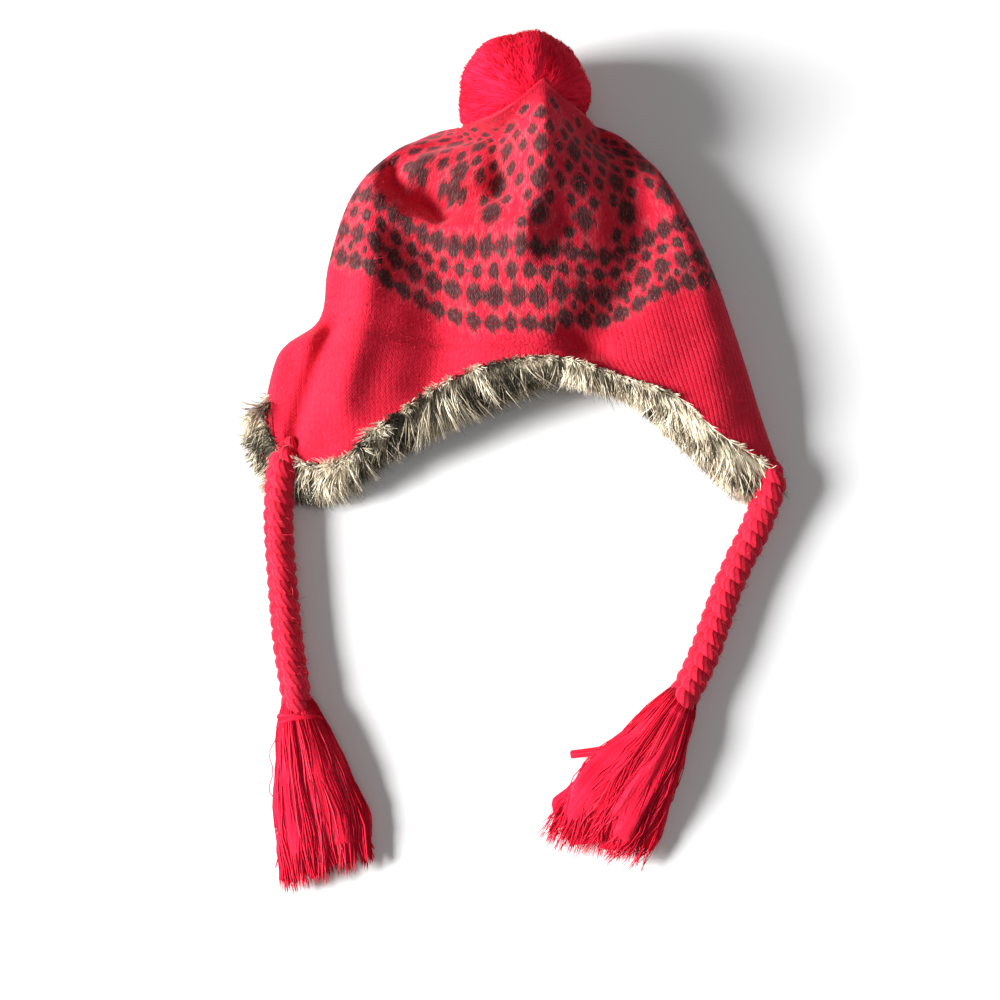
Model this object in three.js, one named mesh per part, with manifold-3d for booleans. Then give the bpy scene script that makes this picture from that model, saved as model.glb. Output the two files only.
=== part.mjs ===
// Knitted ski hat with ear flaps, lying face up on a table.
// X runs to the right, Y from the hem towards the pompom, Z up from the table. All sizes are millimetres.
import * as THREE from "three";
import { mergeVertices } from "three/addons/utils/BufferGeometryUtils.js";
import Module from "manifold-3d";

const wasm = await Module();
wasm.setup();

// Driving sizes
const KNIT_THICKNESS = 2.8;
const PIECE_GAP = 0.35;
const FUR_GAP = 0.6;
const TABLE_CLEARANCE = 0.3;

// How finely the knitting is laid out: columns round it, and steps along a half loop that they are taken from.
const FRONT_COLUMNS = 38;
const BACK_COLUMNS = 26;
const DENSE = 160;
const HEM_SIDEWAYS_SHARE = 0.6;

// How full the back layer is towards its sides, the last course of the hollow, the share of the face over which
// folds fade at its sides, and the stretch of courses over which they fade at the rim.
const BACK_PILLOW = 0.42;
const CAVITY_END_SECTION = 5;
const EDGE_FADE = 0.09;
const RIM_FADE = 0.8;

// Part of a course over which the slope of the knitting is measured.
const SLOPE_STEP = 0.04;

// Middle of the hat's plan without its braids, in the coordinates of the tables below.
const ORIGIN = { x: -3.82, y: -0.75 };

const POMPOM = { x: 5.0, y: 107.4, z: 38.5, radius: 43.6, detail: 6, lump: 1.1, sunk: 0.9, lumpsAcross: 0.32 };

// Hollow of the crown that the pompom sits in. Where a neighbour is cut, it opens a little further towards +Y.
const DISH_ROWS = 3;
const DISH_BOTTOM = { x: 6.4, y: 84, z: 36 };
const DISH_OPENING = 1.5;

const TIE_DIAMETER = 19.6;
const TIE_SIDES = 10;
const TIE_STEPS = 22;
const TASSEL_SIDES = 24;
const TASSEL_LOCKS = 8;
const TASSEL_HEAD = { wide: 9.5, high: 9.5 };
const TASSEL_RIDGE = 0.08;
const TASSEL_FLOOR = 0.1;

// Hem of the face, from the right flap tip over the forehead to the left flap, with the edge of the fur beside it.
const FACE_HEM = [
  { x: 167, y: -134, z: 14, furX: 165, furY: -141, furZ: 9 },
  { x: 145, y: -119, z: 26, furX: 144, furY: -151, furZ: 13 },
  { x: 123, y: -106, z: 33, furX: 121, furY: -137, furZ: 17 },
  { x: 101, y: -87, z: 38, furX: 91, furY: -109, furZ: 21 },
  { x: 64, y: -73, z: 40, furX: 61, furY: -83, furZ: 27 },
  { x: 27, y: -62, z: 41, furX: 25, furY: -75, furZ: 29 },
  { x: -10, y: -64, z: 41, furX: -6, furY: -84, furZ: 27 },
  { x: -47, y: -78, z: 38, furX: -41, furY: -98, furZ: 24 },
  { x: -82, y: -102, z: 32, furX: -76, furY: -119, furZ: 20 },
  { x: -116, y: -126, z: 23, furX: -119, furY: -146, furZ: 13 },
  { x: -145, y: -117, z: 15, furX: -150, furY: -142, furZ: 8 },
  { x: -155, y: -104, z: 11, furX: -170, furY: -120, furZ: 7 },
  { x: -160, y: -89, z: 9, furX: -175, furY: -97, furZ: 7 },
];

// Hem of the back layer, from the left flap under the hat to the right flap tip.
const NAPE_HEM = [
  { x: -160, y: -89, z: 9, furX: -175, furY: -97, furZ: 7 },
  { x: -137, y: -67, z: 3, furX: -158, furY: -77, furZ: 5 },
  { x: -75, y: -52, z: 1.5, furX: -77, furY: -66, furZ: 6 },
  { x: 15, y: -47, z: 1.5, furX: 15, furY: -62, furZ: 6 },
  { x: 111, y: -75, z: 1.5, furX: 104, furY: -90, furZ: 6 },
  { x: 152, y: -109, z: 4, furX: 140, furY: -128, furZ: 5 },
  { x: 167, y: -134, z: 14, furX: 165, furY: -141, furZ: 9 },
];

// Closed courses of the knitting above the hem: their left and right ends on the outline, the middle of the face
// and the middle of the back layer, how peaked the face is, and the rows of faces up to the next one.
const SECTIONS = [
  { name: "flap", leftX: -150.5, leftY: -53, leftZ: 10, rightX: 148, rightY: -75, rightZ: 15,
    faceX: 21, faceY: -58, faceZ: 43, peak: 0.7, backY: -38, backZ: 1, rows: 2 },
  { name: "brow", leftX: -125, leftY: -32, leftZ: 14, rightX: 136.5, rightY: -37, rightZ: 17,
    faceX: 18, faceY: -53, faceZ: 44, peak: 0.7, backY: -28, backZ: 1, rows: 3 },
  { name: "pattern_foot", leftX: -119, leftY: 4, leftZ: 18, rightX: 127, rightY: -8, rightZ: 18,
    faceX: 15, faceY: -46, faceZ: 45.5, peak: 0.7, backY: -10, backZ: 1, rows: 5 },
  { name: "plain_band", leftX: -103, leftY: 51, leftZ: 19, rightX: 110, rightY: 31, rightZ: 20,
    faceX: 15, faceY: 7, faceZ: 49, peak: 0.7, backY: 26, backZ: 1, rows: 4 },
  { name: "crown", leftX: -76, leftY: 79, leftZ: 18, rightX: 89.5, rightY: 65, rightZ: 21,
    faceX: 15, faceY: 44, faceZ: 54, peak: 0.8, backY: 52, backZ: 1, rows: 4 },
  { name: "neck", leftX: -50, leftY: 93, leftZ: 16, rightX: 68, rightY: 86, rightZ: 24,
    faceX: 15, faceY: 71, faceZ: 72, peak: 2.6, backY: 66, backZ: 1.5, rows: 3 },
];
const HEM_ROWS = 3;

// Fur that lines the hem: pile depth at the flap tips, on the face and on the nape, how high inside the hat it
// reaches in courses of the table above, and how the free edge rounds from the knitting to its tip and back.
const FUR_PILE = { tips: 2.2, face: 7.5, nape: 5, openedOver: 0.12 };
const FUR_COURSES = [0, 0.35, 0.8];
const FUR_FRONT = [
  { share: 0.1, faceLift: -1, napeLift: -1 },
  { share: 0.3, faceLift: 1.6, napeLift: 0.4 },
  { share: 0.7, faceLift: 0.8, napeLift: 0 },
  { share: 1, faceLift: -2.5, napeLift: -2.5 },
];
const FUR_UNDERSIDE = [{ share: 0.75, piles: 0.9 }, { share: 0.35, piles: 1.1 }];
const FUR_LOCKS = [{ reach: 0.1, turn: 2.5, start: 0 }, { reach: 0.07, turn: 5.3, start: 1 }];

// Rim of the crown round the pompom, over its top on the face and under it at the back.
const FACE_RIM = [
  [47, 97, 20], [47, 90, 42], [38, 90, 64], [26, 93, 79], [16.5, 100.5, 86], [9, 95, 86],
  [2, 89.5, 84], [-7, 84, 79], [-18, 82, 68], [-33, 88, 42], [-31, 97, 15],
];
const BACK_RIM = [[-31, 97, 15], [-24, 84, 8], [0, 74, 7], [28, 77, 7], [40, 86, 12], [47, 97, 20]];

// Soft folds of the face: ridges have a positive height, creases and hollows a negative one.
const FOLDS = [
  { name: "ridge_left", fromX: -91, fromY: 47, viaX: -92, viaY: -12, toX: -108, toY: -88, height: 8, width: 12 },
  { name: "valley_left", fromX: -64, fromY: 18, viaX: -48, viaY: -20, toX: -66, toY: -64, height: -12, width: 24 },
  { name: "ridge_middle", fromX: 17, fromY: 88, viaX: 15, viaY: 50, toX: 4, toY: 4, height: 11, width: 12 },
  { name: "valley_right", fromX: 44, fromY: 84, viaX: 66, viaY: 32, toX: 46, toY: -46, height: -13, width: 19 },
  { name: "ridge_right", fromX: 88, fromY: 62, viaX: 112, viaY: -10, toX: 118, toY: -86, height: 5, width: 14 },
  { name: "pocket", fromX: -76, fromY: 54, viaX: -42, viaY: 40, toX: -8, toY: 48, height: -14, width: 10 },
  { name: "pocket_middle", fromX: -46, fromY: 58, viaX: -30, viaY: 65, toX: -16, toY: 70, height: -5, width: 11 },
  { name: "pocket_side", fromX: -7, fromY: 76, viaX: -8, viaY: 62, toX: -6, toY: 46, height: -7, width: 6 },
  { name: "roll", fromX: -74, fromY: 30, viaX: -40, viaY: 19, toX: 4, toY: 17, height: 7, width: 8 },
  { name: "crown_crease", fromX: -12, fromY: 80, viaX: -42, viaY: 80, toX: -78, toY: 66, height: -7, width: 5 },
  { name: "flap_crease", fromX: -117, fromY: -40, viaX: -130, viaY: -73, toX: -141, toY: -108, height: -6, width: 6 },
  { name: "flap_flare", fromX: -140, fromY: -62, viaX: -148, viaY: -78, toX: -152, toY: -92, height: -5, width: 11 },
  { name: "brow_dent", fromX: 33, fromY: -47, viaX: 42, viaY: -53, toX: 54, toY: -56, height: -4, width: 6 },
];
const FOLD_STEPS = 10;

// Middle line of each braid from the flap tip to its knot.
const TIE_LEFT_ROUTE = [
  [-142.3, -108.6, 20], [-144.5, -116.6, 18], [-146.8, -125.7, 15.5], [-148.1, -134.9, 13], [-148.7, -145.3, 11],
  [-149.3, -156.5, 9.9], [-148.6, -167.6, 9.9], [-147.7, -178.7, 9.9], [-146.4, -190.4, 9.9], [-145.2, -202.1, 9.9],
  [-143.9, -213.6, 9.9], [-142.7, -225.2, 9.9], [-141.4, -236.7, 9.9], [-139.6, -248.1, 9.9], [-137.7, -259.5, 9.9],
  [-135.9, -270.8, 9.9],
];
const TIE_RIGHT_ROUTE = [
  [158.1, -125.0, 21], [158.3, -131.6, 18.5], [157.9, -139.5, 15.5], [155.9, -147.3, 12.5], [152.8, -155.3, 10.8],
  [149.4, -163.9, 9.9], [145.0, -172.6, 9.9], [140.4, -181.2, 9.9], [136.5, -189.8, 9.9], [132.5, -199.0, 9.9],
  [128.8, -208.2, 9.9], [125.5, -217.9, 9.9], [121.8, -227.6, 9.9], [118.2, -237.3, 9.9], [114.0, -246.9, 9.9],
  [108.8, -257.1, 9.9], [103.1, -267.2, 9.9],
];

// Cut yarn below each knot: middle of the bundle, half its width and half its height, from the knot to the ends.
const TASSEL_LEFT_ROWS = [
  { x: -133.0, y: -279.5, wide: 13.5, high: 10.5 },
  { x: -131.0, y: -289.5, wide: 16, high: 10.5 },
  { x: -128.0, y: -301.0, wide: 18.8, high: 10.5 },
  { x: -124.5, y: -315.0, wide: 22, high: 10.5 },
  { x: -120.5, y: -330.0, wide: 25.2, high: 9.5 },
  { x: -116.5, y: -345.0, wide: 27.8, high: 8.5 },
  { x: -114.5, y: -358.0, wide: 26.5, high: 7.5 },
];
const TASSEL_RIGHT_ROWS = [
  { x: 96.0, y: -278.0, wide: 13, high: 10.5 },
  { x: 90.0, y: -289.0, wide: 17, high: 11 },
  { x: 82.0, y: -301.5, wide: 21.5, high: 11 },
  { x: 74.0, y: -313.0, wide: 25.5, high: 11 },
  { x: 66.8, y: -324.5, wide: 28, high: 10.5 },
  { x: 59.8, y: -336.5, wide: 29.5, high: 9.5 },
  { x: 54.0, y: -347.0, wide: 29, high: 8 },
];
// How far the locks run past the last row, and how much less they do on the right side; then the mean share of that
// reach, how far single locks differ from it, and the two closing rings.
const TASSEL_ENDS = { left: { reach: 15, slant: 2 }, right: { reach: 13, slant: 8 } };
const TASSEL_RAGGED = { mean: 0.65, locks: 0.22, single: 0.13, turn: 1.7 };
const TASSEL_CLOSING = { scale: 0.8, start: 2, innerScale: 0.45, innerReach: 3, tip: 2 };

const FINISH = {
  knit: { color: 0xc80f30, roughness: 0.92, metalness: 0 },
  fur: { color: 0xb9a58a, roughness: 0.95, metalness: 0 },
  yarn: { color: 0xd8123a, roughness: 0.9, metalness: 0 },
};

const clamp01 = (value) => Math.min(1, Math.max(0, value));
const smooth = (value) => clamp01(value) ** 2 * (3 - 2 * clamp01(value));
const mix = (a, b, share) => a + (b - a) * share;

// A point between the listed ones, on the centripetal spline through them.
function splineAt(points, place) {
  const last = points.length - 1;
  const index = Math.min(last - 1, Math.max(0, Math.floor(place)));
  const share = place - index;
  const p1 = points[index];
  const p2 = points[index + 1];
  const p0 = index > 0 ? points[index - 1] : p1.clone().multiplyScalar(2).sub(p2);
  const p3 = index + 2 <= last ? points[index + 2] : p2.clone().multiplyScalar(2).sub(p1);
  const [before, span, after] = [[p0, p1], [p1, p2], [p2, p3]].map(([a, b]) => Math.sqrt(a.distanceTo(b)) + 1e-3);
  const slope = (a, b, c, step, next) => b.clone().sub(a).divideScalar(step)
    .sub(c.clone().sub(a).divideScalar(step + next)).add(c.clone().sub(b).divideScalar(next)).multiplyScalar(span);
  const out = p1.clone().multiplyScalar(1 - 3 * share ** 2 + 2 * share ** 3);
  out.addScaledVector(p2, 3 * share ** 2 - 2 * share ** 3);
  out.addScaledVector(slope(p0, p1, p2, before, span), share - 2 * share ** 2 + share ** 3);
  out.addScaledVector(slope(p1, p2, p3, span, after), share ** 3 - share ** 2);
  return out;
}

// Points spread evenly along a dense half loop. sidewaysShare says how much of the spread follows X alone.
function spread(dense, count, sidewaysShare) {
  const run = [0];
  for (let k = 1; k < dense.length; k++) {
    const step = dense[k].clone().sub(dense[k - 1]);
    run.push(run[k - 1] + mix(step.length(), Math.abs(step.x), sidewaysShare));
  }
  const total = run[run.length - 1];
  const places = [];
  let k = 1;
  for (let i = 0; i <= count; i++) {
    const wanted = (total * i) / count;
    while (k < run.length - 1 && run[k] < wanted) k++;
    places.push(k - 1 + clamp01((wanted - run[k - 1]) / (run[k] - run[k - 1])));
  }
  return places;
}

function pointAt(dense, place) {
  const index = Math.min(dense.length - 2, Math.floor(place));
  return dense[index].clone().lerp(dense[index + 1], place - index);
}

// One closed loop: the face from right to left, then the back layer from left to right.
function loopOf(face, back, sidewaysShare) {
  const facePoints = spread(face, FRONT_COLUMNS, sidewaysShare).map((place) => pointAt(face, place));
  const backPoints = spread(back, BACK_COLUMNS, sidewaysShare).map((place) => pointAt(back, place));
  return [...facePoints, ...backPoints.slice(1, -1)];
}

function sectionLoop(row) {
  const face = [];
  const back = [];
  for (let k = 0; k <= DENSE; k++) {
    const angle = (Math.PI * k) / DENSE;
    const side = Math.cos(angle);
    const depth = Math.sin(angle);
    const share = (1 - side) / 2;
    const chordX = mix(row.rightX, row.leftX, share);
    const chordY = mix(row.rightY, row.leftY, share);
    const chordZ = mix(row.rightZ, row.leftZ, share);
    const middleX = (row.rightX + row.leftX) / 2;
    const middleY = (row.rightY + row.leftY) / 2;
    face.push(new THREE.Vector3(
      chordX + (row.faceX - middleX) * depth ** 2,
      chordY + (row.faceY - middleY) * depth ** 2,
      mix(chordZ, row.faceZ, depth ** row.peak),
    ));
    back.unshift(new THREE.Vector3(
      chordX,
      chordY + (row.backY - middleY) * depth ** 2,
      mix(chordZ, row.backZ, depth ** BACK_PILLOW),
    ));
  }
  return loopOf(face, back, 0);
}

const denseSpline = (points) =>
  Array.from({ length: DENSE + 1 }, (_, k) => splineAt(points, ((points.length - 1) * k) / DENSE));
const hemPoint = (row) => new THREE.Vector3(row.x, row.y, row.z);
const furPoint = (row) => new THREE.Vector3(row.furX, row.furY, row.furZ);
const rimPoint = (row) => new THREE.Vector3(...row);

// The fur edge is taken at the same places along the hem table, so each column keeps its own lock.
function hemAndFurLoops() {
  const face = denseSpline(FACE_HEM.map(hemPoint));
  const back = denseSpline(NAPE_HEM.map(hemPoint));
  const furFace = denseSpline(FACE_HEM.map(furPoint));
  const furBack = denseSpline(NAPE_HEM.map(furPoint));
  const facePlaces = spread(face, FRONT_COLUMNS, HEM_SIDEWAYS_SHARE);
  const backPlaces = spread(back, BACK_COLUMNS, HEM_SIDEWAYS_SHARE).slice(1, -1);
  const take = (front, rear) => [
    ...facePlaces.map((place) => pointAt(front, place)),
    ...backPlaces.map((place) => pointAt(rear, place)),
  ];
  return { hem: take(face, back), furEdge: take(furFace, furBack) };
}

const { hem, furEdge } = hemAndFurLoops();
const rim = loopOf(denseSpline(FACE_RIM.map(rimPoint)), denseSpline(BACK_RIM.map(rimPoint)), 0);
const stations = [hem, ...SECTIONS.map(sectionLoop), rim];
const COLUMNS = hem.length;
const pompomCentre = new THREE.Vector3(POMPOM.x, POMPOM.y, POMPOM.z);

const foldLines = FOLDS.map((fold) => {
  const line = new THREE.QuadraticBezierCurve(
    new THREE.Vector2(fold.fromX, fold.fromY),
    new THREE.Vector2(2 * fold.viaX - (fold.fromX + fold.toX) / 2, 2 * fold.viaY - (fold.fromY + fold.toY) / 2),
    new THREE.Vector2(fold.toX, fold.toY),
  );
  return { ...fold, points: line.getPoints(FOLD_STEPS) };
});

function distanceToLine(x, y, points) {
  let nearest = Infinity;
  for (let k = 1; k < points.length; k++) {
    const a = points[k - 1];
    const along = points[k].clone().sub(a);
    const share = clamp01(((x - a.x) * along.x + (y - a.y) * along.y) / along.lengthSq());
    nearest = Math.min(nearest, Math.hypot(x - a.x - along.x * share, y - a.y - along.y * share));
  }
  return nearest;
}

// How fully a column belongs to the face: 0 on the outline and on the back layer, 1 well inside the face.
function faceWeight(column) {
  if (column > FRONT_COLUMNS) return 0;
  return smooth(Math.min(column, FRONT_COLUMNS - column) / FRONT_COLUMNS / EDGE_FADE);
}

function shellPoint(column, place) {
  const point = splineAt(stations.map((station) => station[column]), place);
  const weight = faceWeight(column);
  const rimFade = smooth((stations.length - 1 - place) / RIM_FADE);
  for (const fold of foldLines) {
    const away = distanceToLine(point.x, point.y, fold.points) / fold.width;
    point.z += weight * rimFade * fold.height * Math.exp(-(away ** 2));
  }
  return point;
}

function rowPlaces() {
  const rows = [HEM_ROWS, ...SECTIONS.map((row) => row.rows)];
  const places = [];
  rows.forEach((count, index) => {
    for (let k = 0; k < count; k++) places.push(index + k / count);
  });
  return [...places, rows.length];
}

const columnList = Array.from({ length: COLUMNS }, (_, column) => column);
const loopAt = (place) => columnList.map((column) => shellPoint(column, place));

// The outward direction of the knitted skin at each column of a loop.
function outwardAt(place) {
  const here = loopAt(place);
  const below = loopAt(Math.max(0, place - SLOPE_STEP));
  const above = loopAt(place + SLOPE_STEP);
  return columnList.map((column) => {
    const around = here[(column + 1) % COLUMNS].clone().sub(here[(column + COLUMNS - 1) % COLUMNS]);
    return above[column].clone().sub(below[column]).cross(around).normalize();
  });
}

// Closed skin over rings of points: ended by a point at each end, or joined into a ring itself.
function skinOver(rings, firstPoint, lastPoint) {
  const across = rings[0].length;
  const points = rings.flat();
  const faces = [];
  const joined = !firstPoint;
  for (let ring = 0; ring < rings.length - (joined ? 0 : 1); ring++) {
    const next = (ring + 1) % rings.length;
    for (let k = 0; k < across; k++) {
      const turned = (k + 1) % across;
      const a = ring * across + k;
      const b = ring * across + turned;
      const c = next * across + turned;
      const d = next * across + k;
      const shortAcross = points[a].distanceToSquared(points[c]) < points[b].distanceToSquared(points[d]);
      if (shortAcross) faces.push(a, b, c, a, c, d);
      else faces.push(a, b, d, b, c, d);
    }
  }
  if (!joined) {
    const first = points.push(firstPoint) - 1;
    const last = points.push(lastPoint) - 1;
    const lastRing = (rings.length - 1) * across;
    for (let k = 0; k < across; k++) {
      const turned = (k + 1) % across;
      faces.push(first, turned, k, last, lastRing + k, lastRing + turned);
    }
  }
  return facingOut(points, faces);
}

function facingOut(points, faces) {
  let volume = 0;
  for (let k = 0; k < faces.length; k += 3) {
    const [a, b, c] = faces.slice(k, k + 3).map((index) => points[index]);
    volume += a.dot(b.clone().cross(c));
  }
  const order = volume < 0 ? [...faces].reverse() : faces;
  const geometry = new THREE.BufferGeometry().setFromPoints(points);
  geometry.setIndex(order);
  return geometry;
}

function solidOf(geometry) {
  const bare = geometry.clone();
  bare.deleteAttribute("normal");
  bare.deleteAttribute("uv");
  const merged = mergeVertices(bare, 1e-3);
  return new wasm.Manifold(new wasm.Mesh({
    numProp: 3,
    vertProperties: merged.attributes.position.array,
    triVerts: new Uint32Array(merged.index.array),
  }));
}

function geometryOf(solid) {
  const mesh = solid.getMesh();
  const geometry = new THREE.BufferGeometry();
  geometry.setAttribute("position", new THREE.BufferAttribute(new Float32Array(mesh.vertProperties), 3));
  geometry.setIndex(new THREE.BufferAttribute(new Uint32Array(mesh.triVerts), 1));
  return geometry;
}

// The largest body that a cut leaves.
const largestOf = (solid) => solid.decompose().sort((a, b) => b.volume() - a.volume())[0];
const centreOf = (points) =>
  points.reduce((sum, point) => sum.add(point), new THREE.Vector3()).divideScalar(points.length);

// The knitted shell: an outer skin up to the rim, a dish that holds the pompom, and the wall of the hollow inside.
// extra thickens both skins, for cutting a neighbour with a gap.
function knitShell(extra) {
  const places = rowPlaces();
  const outer = places.map((place) => {
    const outward = outwardAt(Math.min(place, stations.length - 1 - SLOPE_STEP));
    return loopAt(place).map((point, column) => point.addScaledVector(outward[column], extra));
  });
  const rimRing = outer[outer.length - 1];
  rimRing.forEach((point) => point.y += DISH_OPENING * extra);
  const dishBottom = new THREE.Vector3(DISH_BOTTOM.x, DISH_BOTTOM.y + DISH_OPENING * extra, DISH_BOTTOM.z);
  const dish = [];
  for (let k = 1; k <= DISH_ROWS; k++) {
    dish.push(rimRing.map((point) => point.clone().lerp(dishBottom, k / (DISH_ROWS + 1))));
  }
  const wall = KNIT_THICKNESS + extra;
  const inner = places.filter((place) => place <= CAVITY_END_SECTION).reverse().map((place) => {
    const outward = outwardAt(place);
    return loopAt(place).map((point, column) => point.addScaledVector(outward[column], -wall));
  });
  const grow = outer[0].map((point, column) =>
    point.clone().sub(outer[1][column]).normalize().multiplyScalar(extra));
  outer[0].forEach((point, column) => point.add(grow[column]));
  inner[inner.length - 1].forEach((point, column) => point.add(grow[column]));
  return skinOver([...inner, ...outer, ...dish], centreOf(inner[0]), dishBottom);
}

// The fur loop: each ring is a section across the hem, from inside the hat round the hem to the tip of its lock.
function furLoop() {
  const skins = FUR_COURSES.map((place) => ({ loop: loopAt(place), outward: outwardAt(place) }));
  const rings = columnList.map((column) => {
    const onFace = column <= FRONT_COLUMNS;
    const count = onFace ? FRONT_COLUMNS : BACK_COLUMNS;
    const place = onFace ? column : column - FRONT_COLUMNS;
    const opened = smooth(Math.min(place, count - place) / count / FUR_PILE.openedOver);
    const pile = mix(FUR_PILE.tips, onFace ? FUR_PILE.face : FUR_PILE.nape, opened);
    const wall = skins.map(({ loop, outward }) =>
      loop[column].clone().addScaledVector(outward[column], -KNIT_THICKNESS - FUR_GAP));
    const lining = skins.map(({ outward }, k) => wall[k].clone().addScaledVector(outward[column], -pile));
    const out = skins[0].outward[column];
    const edge = hem[column];
    const lock = FUR_LOCKS.reduce((sum, wave) => sum + wave.reach * Math.sin(wave.turn * column + wave.start), 1);
    const reach = furEdge[column].clone().sub(edge).multiplyScalar(lock);
    const along = (share, lift) => edge.clone().addScaledVector(reach, share).addScaledVector(out, lift);
    const section = [
      ...wall.reverse(),
      ...FUR_FRONT.map((row) => along(row.share, onFace ? row.faceLift : row.napeLift)),
      ...FUR_UNDERSIDE.map((row) => along(row.share, -KNIT_THICKNESS - row.piles * pile)),
      ...lining,
    ];
    section.forEach((point) => point.z = Math.max(point.z, TABLE_CLEARANCE));
    return section;
  });
  return skinOver(rings);
}

// Knobbly yarn ball with its underside pressed flat on the table.
function yarnBall() {
  const ball = new THREE.IcosahedronGeometry(POMPOM.radius, POMPOM.detail);
  const position = ball.attributes.position;
  const point = new THREE.Vector3();
  for (let k = 0; k < position.count; k++) {
    point.fromBufferAttribute(position, k);
    const f = POMPOM.lumpsAcross;
    const lump = Math.sin(f * point.x + 0.8) * Math.sin(f * point.y + 2.1) * Math.sin(f * point.z + 0.3);
    point.multiplyScalar(1 + (POMPOM.lump * (lump - POMPOM.sunk)) / POMPOM.radius).add(pompomCentre);
    point.z = Math.max(point.z, 0);
    position.setXYZ(k, point.x, point.y, point.z);
  }
  return ball;
}

// A braid as a plain round cord along its route.
function braidCord(route, diameter) {
  const section = new THREE.Shape();
  for (let k = 0; k < TIE_SIDES; k++) {
    const angle = (2 * Math.PI * k) / TIE_SIDES;
    const corner = [0.5 * diameter * Math.cos(angle), 0.5 * diameter * Math.sin(angle)];
    if (k === 0) section.moveTo(...corner);
    else section.lineTo(...corner);
  }
  const path = new THREE.CatmullRomCurve3(route.map((point) => new THREE.Vector3(...point)));
  return new THREE.ExtrudeGeometry(section, { steps: TIE_STEPS, bevelEnabled: false, extrudePath: path });
}

// Cut yarn in ridged locks, lying on the table: a bound head that meets the end of its braid and fans out to
// ragged ends.
function tassel(route, rows, ends) {
  const [beforeLast, routeEnd] = route.slice(-2).map((point) => new THREE.Vector3(...point));
  const headAxis = routeEnd.clone().sub(beforeLast).setZ(0).normalize();
  const head = routeEnd.clone().addScaledVector(headAxis, PIECE_GAP);
  const bundles = [{ x: head.x, y: head.y, ...TASSEL_HEAD }, ...rows];
  const centres = bundles.map((row) => new THREE.Vector3(row.x, row.y, row.high));
  const last = bundles.length - 1;
  const axisAt = (index) => index === 0
    ? headAxis
    : centres[Math.min(index + 1, last)].clone().sub(centres[index - 1]).setZ(0).normalize();
  const ring = (index, scale, reachOf) => {
    const row = bundles[index];
    const axis = axisAt(index);
    const sideways = new THREE.Vector3(-axis.y, axis.x, 0);
    return Array.from({ length: TASSEL_SIDES }, (_, k) => {
      const angle = (2 * Math.PI * k) / TASSEL_SIDES;
      const ridge = 1 + TASSEL_RIDGE * Math.cos(TASSEL_LOCKS * angle) * clamp01(index / 3);
      const point = centres[index].clone().addScaledVector(sideways, row.wide * ridge * scale * Math.cos(angle));
      point.z = Math.max(TASSEL_FLOOR, point.z + row.high * ridge * scale * Math.sin(angle));
      return point.addScaledVector(axis, reachOf(k, angle));
    });
  };
  const rings = bundles.map((row, index) => ring(index, 1, () => 0));
  const { mean, locks, single, turn } = TASSEL_RAGGED;
  const { scale, start, innerScale, innerReach, tip } = TASSEL_CLOSING;
  const lockEnd = (k, angle) =>
    ends.reach * (mean + locks * Math.cos(TASSEL_LOCKS * angle) + single * Math.sin(turn * k));
  rings.push(ring(last, scale, (k, angle) => start + lockEnd(k, angle) - ends.slant * Math.cos(angle)));
  rings.push(ring(last, innerScale, () => innerReach));
  return skinOver(rings, centres[0], centres[last].clone().addScaledVector(axisAt(last), tip));
}

function named(name, geometry, finish) {
  const mesh = new THREE.Mesh(geometry, new THREE.MeshStandardMaterial(finish));
  mesh.name = name;
  return mesh;
}

const shell = knitShell(0);
const shellCutter = solidOf(knitShell(PIECE_GAP));
const tieLeft = largestOf(solidOf(braidCord(TIE_LEFT_ROUTE, TIE_DIAMETER)).subtract(shellCutter));
const tieRight = largestOf(solidOf(braidCord(TIE_RIGHT_ROUTE, TIE_DIAMETER)).subtract(shellCutter));
const fatDiameter = TIE_DIAMETER + 2 * PIECE_GAP;
const tieCutter = solidOf(braidCord(TIE_LEFT_ROUTE, fatDiameter))
  .add(solidOf(braidCord(TIE_RIGHT_ROUTE, fatDiameter)));
const fur = largestOf(solidOf(furLoop()).subtract(shellCutter).subtract(tieCutter));
const pompom = largestOf(solidOf(yarnBall()).subtract(shellCutter));

const hat = new THREE.Group();
hat.add(named("knit_shell", shell, FINISH.knit));
hat.add(named("fur_trim", geometryOf(fur), FINISH.fur));
hat.add(named("pompom", geometryOf(pompom), FINISH.yarn));
hat.add(named("tie_left", geometryOf(tieLeft), FINISH.yarn));
hat.add(named("tie_right", geometryOf(tieRight), FINISH.yarn));
hat.add(named("tassel_left", tassel(TIE_LEFT_ROUTE, TASSEL_LEFT_ROWS, TASSEL_ENDS.left), FINISH.yarn));
hat.add(named("tassel_right", tassel(TIE_RIGHT_ROUTE, TASSEL_RIGHT_ROWS, TASSEL_ENDS.right), FINISH.yarn));

hat.position.set(-ORIGIN.x, -ORIGIN.y, 0);

export default hat;
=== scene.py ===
"""Looks of a knitted ski hat that lies face up: fur along its hem, a yarn pompom and braided ties."""

import logging
import math
from dataclasses import dataclass, field
from enum import Enum
from typing import Callable, Sequence

import bmesh
import bpy
import numpy as np
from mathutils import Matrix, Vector
from mathutils.bvhtree import BVHTree


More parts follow.
